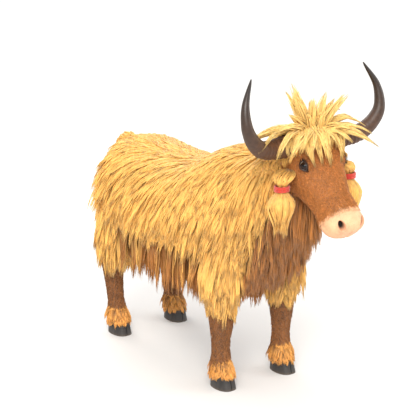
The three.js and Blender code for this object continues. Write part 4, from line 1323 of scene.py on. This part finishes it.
def strandColours(base, rings, tone, isShort, rootShade=shades["root"]):
    share = np.linspace(0, 1, rings + 1)[None, :, None]
    root, tip = (shades["shortRoot"], shades["shortTip"]) if isShort else (rootShade, shades["tip"])
    own = 1 + random.normal(0, shades["shortOwn" if isShort else "own"], (len(base), 1, 1))
    colour = base[:, None, :] * (root + (tip - root) * share) * own * tone[:, None, None]
    bleached = 0.0 if isShort else 0.5 * smoothStep(0.35, 1.0, share)
    colour = np.maximum(colour * (1 + (np.array(shades["bleach"]) - 1) * bleached), 0)
    return colour / np.maximum(1, colour.max(axis=-1, keepdims=True))


weights = kindWeights()
coatPieces = []


def growCoat(kind, names):
    look = coat[kind]
    guideAt, guideUp, _ = skinMap.scatter(look["locks"], weights[kind])
    lines = growLocks(kind, guideAt, guideUp)
    roots, normals, uv = skinMap.scatter(look["strands"], weights[kind])
    owner = nearestOf(guideAt, roots)
    path = strandPaths(lines, owner, roots - guideAt[owner], look)
    if kind in ("poll", "mane", "ear"):
        path = clearOfHorns(path)
    base, _ = markings(roots, whichForm(roots))
    tone = 1 + growth["toneUneven"] * raggedness(guideAt, growth["tonePatch"])
    tone = (tone + random.normal(0, growth["toneRandom"], len(guideAt)))[owner]
    colour = strandColours(base, look["rings"], tone, kind in ("face", "shank"))
    wide = look["wide"] * (0.7 + 0.6 * random.random(len(roots)))
    for name, part in names(roots):
        coatPieces.append(tuftMesh(name, path[part], wide[part], normals[part], colour[part], uv[part]))


def whole(name):
    return lambda p: [(name, np.ones(len(p), bool))]


def halves(name):
    return lambda p: [(f"{name}Left", p[:, 0] > 0), (f"{name}Right", p[:, 0] <= 0)]


def quarters(name, split):
    def parts(p):
        ends = (("Front", p[:, 1] <= split), ("Rear", p[:, 1] > split))
        return [(half + end, inHalf & inEnd) for half, inHalf in halves(name)(p) for end, inEnd in ends]

    return parts


coatNames = {
    "back": quarters("mantle", body["shiftY"]), "mane": halves("mane"), "chest": whole("chestCoat"),
    "skirt": halves("skirt"), "forearm": halves("forearmCoat"), "thigh": halves("thighCoat"),
    "shank": whole("shankCoat"), "cuff": whole("cuffs"), "face": whole("faceCoat"), "poll": whole("pollCoat"),
    "ear": whole("earCoat"), "dock": whole("dockCoat"),
}
for kind in coat:
    growCoat(kind, coatNames[kind])
noteStage("coat grown over the skin")


# Locks that don't start on the open skin: forelock, tail and side locks. Each has its own line,
# and its strands swell round it and gather at the tip.
def lockBundle(name, lines, radius, perLock, look, base):
    lines = np.array(lines)
    count = len(lines) * perLock
    owner = np.repeat(np.arange(len(lines)), perLock)
    start = lines[:, 1] - lines[:, 0]
    a = unit(np.cross(start, np.array([0.31, 0.52, 0.79])))
    b = unit(np.cross(start, a))
    turn = random.random((count, 1)) * 6.283
    reach = np.sqrt(random.random((count, 1))) * np.broadcast_to(radius, len(lines))[owner, None]
    offset = a[owner] * np.cos(turn) * reach + b[owner] * np.sin(turn) * reach
    path = strandPaths(lines, owner, offset, look)
    if "tie" in look:
        path = tiedIn(path, *look["tie"])
    if name == "forelock":
        path = clearOfHorns(path)
    uv = skinMap.unwrapUnder(lines[:, 0])
    tone = (1 + random.normal(0, 0.08, len(lines)))[owner]
    rootShade = look.get("rootShade", shades["root"])
    colour = strandColours(np.tile(np.array(base), (count, 1)), look["rings"], tone, False, rootShade)
    jitter = (random.random((count, 2)) - 0.5) * 0.01
    width = look["wide"] * (0.7 + 0.6 * random.random(count))
    piece = tuftMesh(name, path, width, unit(offset + 1e-4), colour, np.clip(uv[owner] + jitter, 0, 1))
    coatPieces.append(piece)
    return piece


def tiedIn(path, middle, radius, high):
    # strands pass through a band: they keep within its radius there and widen slowly above and below
    q = path - middle
    away = np.hypot(q[..., 0], q[..., 1])
    past = np.clip(np.abs(q[..., 2]) - high / 2, 0, None)
    room = radius + 1.6 * past / (1 + past / 0.06)
    close = np.minimum(1, room / np.maximum(away, 1e-6))[..., None]
    return middle + q * np.concatenate([close, close, np.ones_like(close)], axis=-1)


# The forelock is thrown up, out and over the nape in fans of locks, and falls over the brow. A fan
# has its first lock and its sweep in degrees, the place of a lock in its share of it, then the
# lock's rise, its length, what it gains towards the sides, how far its tip falls, and how far out
# its root lies.
forelock = {
    "upright": dict(count=15, first=0, sweep=360, place=(-0.4, 0.4), rise=(42, 78), long=(0.15, 0.23),
                    gain=0, fall=(0.0, 0.06), out=(0.2, 0.8)),
    "outward": dict(count=20, first=-125, sweep=250, place=(0.1, 0.9), rise=(12, 46), long=(0.11, 0.15),
                    gain=0.11, fall=(0.08, 0.17), out=(0.6, 1.1)),
    "nape": dict(count=14, first=105, sweep=150, place=(0.1, 0.9), rise=(0, 22), long=(0.13, 0.2),
                 gain=0, fall=(0.12, 0.2), out=(0.2, 1.1)),
    "falling": 30, "longest": (0.4, 0.5), "shorter": (0.2, 0.32), "eyeAngle": 0.8, "eyeLong": 0.2,
    "poll": np.array([tall(0.055), tall(0.036), 0]), "sunk": tall(0.024), "browSunk": 0.034,
    "perLock": 44, "radius": 0.034, "gold": linear(255, 217, 134),
    "look": dict(rings=4, gather=0.95, wave=0.005, wide=0.0031, short=0.6, rooted=0.4, rootShade=0.82),
}


def fanAngle(first, sweep, i, count, place=(0.1, 0.9)):
    return math.radians(first + sweep * (i + random.uniform(*place)) / count)


def fanOf(name):
    return [thrownLock(forelock[name], i) for i in range(forelock[name]["count"])]


def thrownLock(fan, i):
    # one lock of a fan, from the poll to its tip
    facing = fanAngle(fan["first"], fan["sweep"], i, fan["count"], fan["place"])
    rise = math.radians(random.uniform(*fan["rise"]))
    long = tall(random.uniform(*fan["long"]) + fan["gain"] * abs(math.sin(facing)))
    fall, out = tall(random.uniform(*fan["fall"])), random.uniform(*fan["out"])
    way = np.array([math.sin(facing), -math.cos(facing), 0])
    start = headSurface(0.0, 0) - noseWay * tall(0.006) + way * forelock["poll"] * out
    side = np.cross(way, np.array([0, 0, 1.0])) * random.uniform(-0.25, 0.25)
    share = np.linspace(0, 1, growth["steps"] + 1)[:, None]
    flat = (way + side * share) * long * share * math.cos(rise)
    sunk = forelock["sunk"] * (1 - smoothStep(0, 0.2, share))
    return start + flat + np.array([[0, 0, 1]]) * (long * share * math.sin(rise) - fall * share**2 - sunk)


def fallingLock(i):
    # one lock over the brow; those over the eyes are shorter
    angle = fanAngle(-76, 152, i, forelock["falling"])
    long = random.uniform(*forelock["longest" if i % 3 == 1 else "shorter"]) * (1 - 0.2 * abs(angle))
    swing = random.uniform(-0.25, 0.25)
    if abs(angle) > forelock["eyeAngle"]:
        long = min(long, forelock["eyeLong"])
    share = np.linspace(0, 1, growth["steps"] + 1)
    bow = 0.01 + random.uniform(0.02, 0.04) * np.sin(math.pi * np.clip(share * 0.9 + 0.1, 0, 1))
    bow -= forelock["browSunk"] * (1 - smoothStep(0, 0.2, share))
    return [headSurface(-0.03 + long * t, angle * (0.6 + 0.45 * t) + swing * t, tall(lift))
            for t, lift in zip(share, bow)]


def makeForelock():
    lines = fanOf("upright") + fanOf("outward")
    lines += [fallingLock(i) for i in range(forelock["falling"])]
    lines += fanOf("nape")
    radius = [forelock["radius"] * random.uniform(0.7, 1.1) for _ in lines]
    piece = lockBundle("forelock", lines, radius, forelock["perLock"], forelock["look"], forelock["gold"])
    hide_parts("forelock")


tailHair = {
    "locks": 46, "perLock": 48, "radius": 0.02, "rootOut": tall(0.012), "out": tall(0.036), "end": 0.985,
    "look": dict(rings=5, gather=0.85, wave=0.006, wide=0.0026, rooted=0.7),
    "covers": 24, "coverRadius": 0.026, "coverSunk": tall(0.012), "coverOff": tall(0.002),
    "coverLook": dict(rings=5, gather=0.7, wave=0.006, wide=0.0026, rooted=0.0, rootShade=1.0),
}


def makeTailCover():
    # locks of the rump that run over the root of the tail and down its back and sides
    lines, middle = [], tail["points"]
    for i in range(tailHair["covers"]):
        turn = fanAngle(-105, 210, i, tailHair["covers"])
        back = random.uniform(0.0, 0.11)
        root = place(0.055 * math.sin(turn), 0.5 - back, 0.85 + 0.02 * math.cos(turn))
        near, up, _, _ = skinMap.tree.find_nearest(root)
        line = [np.array(near) - np.array(up) * tailHair["coverSunk"]]
        end = random.uniform(0.22, 0.42)
        for share in np.linspace(0.16, 1, growth["steps"]):
            t = end * share ** 1.2
            along = unit(onCurve(middle, t + 0.01) - onCurve(middle, t))
            up = np.array([0, -along[2], along[1]])
            out = tailHair["coverOff"] + tailHair["out"] * math.sin(math.pi * 0.75 * share) ** 1.6
            line.append(onCurve(middle, t) + (np.array([math.sin(turn), 0, 0]) + up * math.cos(turn)) * out)
        lines.append(line)
    look = tailHair["coverLook"]
    lockBundle("tailCover", lines, tailHair["coverRadius"], tailHair["perLock"], look, palette["gold"])


def makeTail():
    # the first locks end on their way down, and the rest reach the end of the brush
    lines, count = [], tailHair["locks"]
    for i in range(count):
        start = 0.5 * max(0, i / count - 0.12) + random.uniform(0, 0.03)
        if i < count * 0.6:
            end = min(tailHair["end"], start + random.uniform(0.34, 0.5))
        else:
            end = random.uniform(0.84, tailHair["end"])
        turn = i * 2.4  # spreads the locks evenly round the tail
        way = np.array([math.sin(turn), math.cos(turn) + 0.1, 0])
        fullness = 0.6 + 0.4 * (i % 3) / 2
        line = []
        for share in np.linspace(0, 1, growth["steps"] + 1):
            t = start + (end - start) * share
            swell = math.sin(math.pi * min(1, share * 0.92)) * fullness
            bulge = tailHair["rootOut"] * min(1, share * 4) + tailHair["out"] * swell
            line.append(onCurve(tail["points"], t) + way * bulge * (1 - 0.45 * share**2))
        lines.append(line)
    look = tailHair["look"]
    lockBundle("tailHair", lines, tailHair["radius"], tailHair["perLock"], look, palette["gold"])


# Above its band a side lock swells like a bulb, and below it flares into a pointed tassel.
sideHair = {
    "bulb": 26, "tassel": 32, "core": 0.3, "perLock": 21, "steps": 14, "radius": 0.015, "inBand": 0.004,
    "bulbOut": tall(0.036), "bulbRoot": 0.6, "tasselOut": tall(0.044), "tasselRoot": 0.5, "start": 0.03,
    "tieHigh": 0.012,
    "look": dict(rings=7, gather=0.62, wave=0.004, wide=0.0029, short=0.7, rooted=0.5),
}


def makeSideLock(side):
    lines = []
    tied, waist = sideLock["band"], sideLock["waist"] - sideHair["inBand"]
    for part, i in [(part, i) for part in ("bulb", "tassel") for i in range(sideHair[part])]:
        # most locks stand side by side round the outside, and the rest fill the core
        outer = round(sideHair[part] * (1 - sideHair["core"]))
        end = random.uniform(0.88, 1.0)
        turn = 2 * math.pi * (i + random.uniform(-0.25, 0.25)) / outer
        inner = random.uniform(0.78, 1.0) if i < outer else random.uniform(0.25, 0.55)
        way = np.array([math.sin(turn), math.cos(turn), 0])
        first, last = (sideHair["start"], tied) if part == "bulb" else (tied, end)
        line = []
        for share in np.linspace(0, 1, sideHair["steps"] + 1):
            if part == "bulb":
                swell = math.sin(math.pi * min(1, share * 1.08)) ** 0.7
            else:
                swell = math.sin(math.pi * min(0.9, share * 1.1)) ** 0.9
            bulge = waist * sideHair[part + "Root"] + sideHair[part + "Out"] * inner * swell
            line.append(sideLockPoint(side, min(first + (last - first) * share, 1.0)) + way * bulge)
        lines.append(line)
    look = dict(sideHair["look"], tie=(sideLockPoint(side, tied), waist, band["high"] + sideHair["tieHigh"]))
    name, radius = "sideLock" + sideWord(side), sideHair["radius"]
    piece = lockBundle(name, lines, radius, sideHair["perLock"], look, palette["gold"])
    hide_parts("side_lock_" + sideWord(side).lower())


def makeLashes():
    path, out = lashPaths()
    uv = skinMap.unwrapUnder(path[:, 0])
    colour = np.tile(np.array(palette["nose"]), (len(path), path.shape[1], 1))
    coatPieces.append(tuftMesh("lashes", path, np.full(len(path), lids["lashWide"]), out, colour, uv))


makeLashes()
makeForelock()
makeTail()
makeTailCover()
for side in (1, -1):
    makeSideLock(side)
counts = [triangles(piece) for piece in coatPieces]
noteStage(
    f"forelock, tail and side locks made, {sum(counts)} triangles of coat, {max(counts)} in the largest piece"
)


# Finishes: each is a small network of nodes put together from the same few steps.
class Finish:
    def __init__(self, name, **sockets):
        self.material = bpy.data.materials.new(name)
        self.material.use_nodes = True
        self.nodes = self.material.node_tree.nodes
        self.link = self.material.node_tree.links.new
        self.surface = self.nodes["Principled BSDF"]
        for socket, value in sockets.items():
            self.surface.inputs[socket.replace("_", " ")].default_value = value

    def add(self, kind, **settings):
        node = self.nodes.new(kind)
        for name, value in settings.items():
            if hasattr(node, name):
                setattr(node, name, value)
            else:
                node.inputs[name.replace("_", " ")].default_value = value
        return node

    def drive(self, socket, value):
        self.link(value, self.surface.inputs[socket])

    def attribute(self, name, output="Fac"):
        return self.add("ShaderNodeAttribute", attribute_name=name).outputs[output]

    def texture(self, kind, stretch=(1, 1, 1), where=None, **settings):
        # a texture in the object's own space, stretched, or at places of its own
        node = self.add(kind, **settings)
        if where is None:
            turned = self.add("ShaderNodeMapping", Scale=stretch)
            self.link(self.add("ShaderNodeTexCoord").outputs["Object"], turned.inputs["Vector"])
            where = turned.outputs["Vector"]
        self.link(where, node.inputs["Vector"])
        return node

    def noise(self, size, stretch=(1, 1, 1), where=None, **settings):
        return self.texture("ShaderNodeTexNoise", stretch, where, Scale=size, **settings).outputs["Fac"]

    def ramp(self, value, *stops):
        # colours, or greys, between stops
        node = self.nodes.new("ShaderNodeValToRGB")
        while len(node.color_ramp.elements) < len(stops):
            node.color_ramp.elements.new(0.5)
        for element, (where, colour) in zip(node.color_ramp.elements, stops):
            element.position = where
            element.color = (*np.broadcast_to(colour, 3), 1)
        self.link(value, node.inputs["Fac"])
        return node.outputs["Color"]

    def mixed(self, kind, share, a, b):
        node = self.add("ShaderNodeMix", data_type="RGBA", blend_type=kind)
        for socket, value in ((0, share), (6, a), (7, b)):
            if hasattr(value, "is_linked"):
                self.link(value, node.inputs[socket])
            elif isinstance(value, float):
                node.inputs[socket].default_value = value
            else:
                node.inputs[socket].default_value = (*value, 1)
        return node.outputs[2]

    def toned(self, colour, tone):
        return self.mixed("MULTIPLY", 1.0, colour, tone)

    def worked(self, operation, first, second):
        node = self.add("ShaderNodeMath", operation=operation)
        self.link(first, node.inputs[0])
        if hasattr(second, "is_linked"):
            self.link(second, node.inputs[1])
        else:
            node.inputs[1].default_value = second
        return node.outputs[0]

    def bump(self, height, strength, distance):
        node = self.add("ShaderNodeBump", Strength=strength, Distance=distance)
        self.link(height, node.inputs["Height"])
        self.drive("Normal", node.outputs["Normal"])


def coatFinish():
    hair = Finish("longHair", Roughness=0.46, Specular_IOR_Level=0.35, Sheen_Weight=0.12, Sheen_Roughness=0.4)
    streak = hair.noise(60.0, (1, 1, 0.15), Detail=3.0)
    tone = hair.ramp(streak, (0.3, 0.8), (0.7, (1.15, 1.13, 1.1)))
    hair.drive("Base Color", hair.toned(hair.attribute("coatColour", "Color"), tone))
    return hair.material


def skinFinish():
    # streaks where hair grows, and a flushed, finely wrinkled skin where it is bare
    hide = Finish("shortHairAndSkin", Specular_IOR_Level=0.4)
    colour, bare = hide.attribute("coatColour", "Color"), hide.attribute("bare")
    streaks = hide.noise(420.0, where=hide.attribute("combed", "Vector"), Detail=3.0)
    furred = hide.toned(colour, hide.ramp(streaks, (0.3, (0.82, 0.8, 0.78)), (0.7, (1.1, 1.09, 1.08))))
    blotches = hide.noise(26.0, Detail=3.0)
    flushed = hide.toned(colour, hide.ramp(blotches, (0.35, (0.93, 0.84, 0.82)), (0.65, (1.04, 1.02, 1.0))))
    hide.drive("Base Color", hide.mixed("MIX", bare, furred, flushed))
    hide.drive("Roughness", hide.ramp(bare, (0.0, 0.72), (1.0, 0.38)))
    wrinkles = hide.texture("ShaderNodeTexVoronoi", Scale=150.0).outputs["Distance"]
    hide.bump(hide.mixed("MIX", bare, streaks, wrinkles), 0.8, 0.004)
    return hide.material


def eyeFinish():
    # rings of colour round the pupil, which is a level oval cut off at the edge of the iris
    ball = Finish("wetEye", Roughness=0.06, Coat_Weight=0.25, Coat_Roughness=0.02, Specular_IOR_Level=0.22)
    dark, brown, white = linear(10, 7, 6), linear(58, 32, 16), linear(222, 206, 190)
    away = ball.worked("DIVIDE", ball.attribute("fromPupil"), 1.6)
    iris = ball.ramp(
        away, (0.0, dark), (0.25, linear(36, 20, 11)), (0.47, brown), (0.53, linear(16, 10, 8)), (0.56, white)
    )
    fibres = ball.noise(420.0, Detail=3.0)
    iris = ball.toned(iris, ball.ramp(fibres, (0.3, (0.75, 0.72, 0.7)), (0.7, 1.1)))
    long, high = (
        ball.worked("POWER", ball.worked("DIVIDE", ball.attribute(name), size), 2)
        for name, size in (("pupilLong", 0.42), ("pupilHigh", 0.2))
    )
    pupil = ball.ramp(ball.worked("ADD", long, high), (0.85, 1), (1.0, 0))
    pupil = ball.toned(pupil, ball.ramp(away, (0.5, 1), (0.55, 0)))
    ball.drive("Base Color", ball.mixed("MIX", pupil, iris, dark))
    return ball.material


def lidFinish():
    rim = Finish("wetLid", Roughness=0.3, Coat_Weight=0.3)
    grain = rim.noise(500.0)
    rim.drive("Base Color", rim.ramp(grain, (0.3, linear(26, 18, 15)), (0.7, linear(52, 37, 30))))
    rim.bump(grain, 0.3, 0.001)
    return rim.material


def hornFinish():
    keratin = Finish("hornKeratin", Coat_Weight=0.06, Coat_Roughness=0.3)
    along = keratin.attribute("alongHorn")
    base = keratin.ramp(
        along, (0.05, linear(108, 72, 46)), (0.3, linear(88, 57, 37)),
        (0.6, linear(62, 42, 29)), (0.9, linear(38, 28, 21))
    )
    grain = keratin.noise(46.0, Detail=6.0, Roughness=0.6)
    tone = keratin.ramp(grain, (0.3, (0.68, 0.66, 0.64)), (0.7, (1.3, 1.26, 1.2)))
    keratin.drive("Base Color", keratin.toned(base, tone))
    keratin.drive("Roughness", keratin.ramp(along, (0.2, 0.6), (0.8, 0.36)))
    keratin.bump(keratin.noise(300.0, Detail=4.0), 0.3, 0.0015)
    return keratin.material


def hoofFinish():
    keratin = Finish("hoofKeratin")
    base = keratin.ramp(
        keratin.attribute("upHoof"), (0.0, linear(84, 74, 64)), (0.2, linear(58, 54, 52)),
        (0.75, linear(42, 40, 39)), (1.0, linear(72, 60, 50))
    )
    grain = keratin.noise(50.0, (1, 1, 0.2), Detail=5.0)
    tone = keratin.ramp(grain, (0.3, (0.72, 0.7, 0.68)), (0.7, (1.25, 1.22, 1.18)))
    keratin.drive("Base Color", keratin.toned(base, tone))
    keratin.drive("Roughness", keratin.ramp(grain, (0.3, 0.62), (0.7, 0.45)))
    keratin.bump(keratin.noise(130.0, (0.4, 0.4, 2.4), Detail=4.0), 0.4, 0.002)
    return keratin.material


def woolFinish():
    wool = Finish("redWool", Roughness=0.85, Sheen_Weight=0.5, Sheen_Roughness=0.5)
    fibre = wool.noise(700.0, Detail=4.0)
    wool.drive("Base Color", wool.ramp(fibre, (0.25, linear(150, 24, 16)), (0.75, linear(244, 72, 44))))
    wool.bump(fibre, 0.6, 0.0012)
    return wool.material


def finished(pieces, material):
    for piece in pieces:
        piece.data.materials.clear()
        piece.data.materials.append(material)


finished([skin], skinFinish())
finished(coatPieces, coatFinish())
finished(eyes, eyeFinish())
finished(lidEdges, lidFinish())
finished(horns, hornFinish())
finished(claws, hoofFinish())
finished(bands, woolFinish())
noteStage("finishes made")


# A pale floor, soft studio light, and the photo's own view.
studio = {
    "floor": 160.0, "pale": linear(230, 229, 227), "sky": (1.0, 1.0, 1.0), "skyStrength": 1.0,
    "sun": dict(place=(-4.2, -5.2, 6.4), strength=1.7, angle=math.radians(34), colour=(1.0, 0.97, 0.92)),
    # place, size, power, colour
    "lights": [
        ((-4.2, -5.2, 5.4), 3.6, 150, (1.0, 0.96, 0.9)),
        ((5.5, -3.2, 3.6), 4.5, 110, (0.93, 0.96, 1.0)),
        ((0.5, 5.5, 5.0), 3.5, 150, (1.0, 0.97, 0.93)),
    ],
    "aim": (-0.0594, 0.0528, 0.9262), "azimuth": -36.0, "elevation": 16.5, "distance": 9.628,
    "lens": 145.7, "sensor": 36.0, "lightAim": (0, 0, 0.9),
}


def lookAt(thing, target):
    thing.rotation_mode = "QUATERNION"
    thing.rotation_quaternion = (Vector(target) - thing.location).to_track_quat("-Z", "Y")


def makeStudio():
    startClean()
    bpy.ops.mesh.primitive_plane_add(size=studio["floor"], location=(0, 0, 0))
    floor = bpy.context.object
    floor.name = "floor"
    finished([floor], Finish("paleFloor", Roughness=0.8, Base_Color=(*studio["pale"], 1)).material)
    world = bpy.data.worlds.new("studioSky")
    world.use_nodes = True
    sky = world.node_tree.nodes["Background"].inputs
    sky["Color"].default_value = (*studio["sky"], 1)
    sky["Strength"].default_value = studio["skyStrength"]
    bpy.context.scene.world = world
    sun = studio["sun"]
    bpy.ops.object.light_add(type="SUN", location=sun["place"])
    lamp = bpy.context.object
    lamp.name = "softSun"
    lamp.data.energy, lamp.data.angle, lamp.data.color = sun["strength"], sun["angle"], sun["colour"]
    lookAt(lamp, studio["lightAim"])
    for i, (where, size, power, colour) in enumerate(studio["lights"]):
        bpy.ops.object.light_add(type="AREA", location=where)
        lamp = bpy.context.object
        lamp.name = f"lamp{i}"
        lamp.data.size, lamp.data.energy, lamp.data.color = size, power, colour
        lookAt(lamp, studio["lightAim"])
    a, e = math.radians(studio["azimuth"]), math.radians(studio["elevation"])
    back = Vector((math.sin(a) * math.cos(e), -math.cos(a) * math.cos(e), math.sin(e)))
    bpy.ops.object.camera_add(location=Vector(studio["aim"]) + back * studio["distance"])
    camera = bpy.context.object
    lookAt(camera, studio["aim"])
    camera.data.sensor_width = studio["sensor"]
    camera.data.lens = studio["lens"]
    bpy.context.scene.camera = camera
    bpy.context.scene.view_settings.view_transform = "Standard"


makeStudio()
noteStage("studio set")
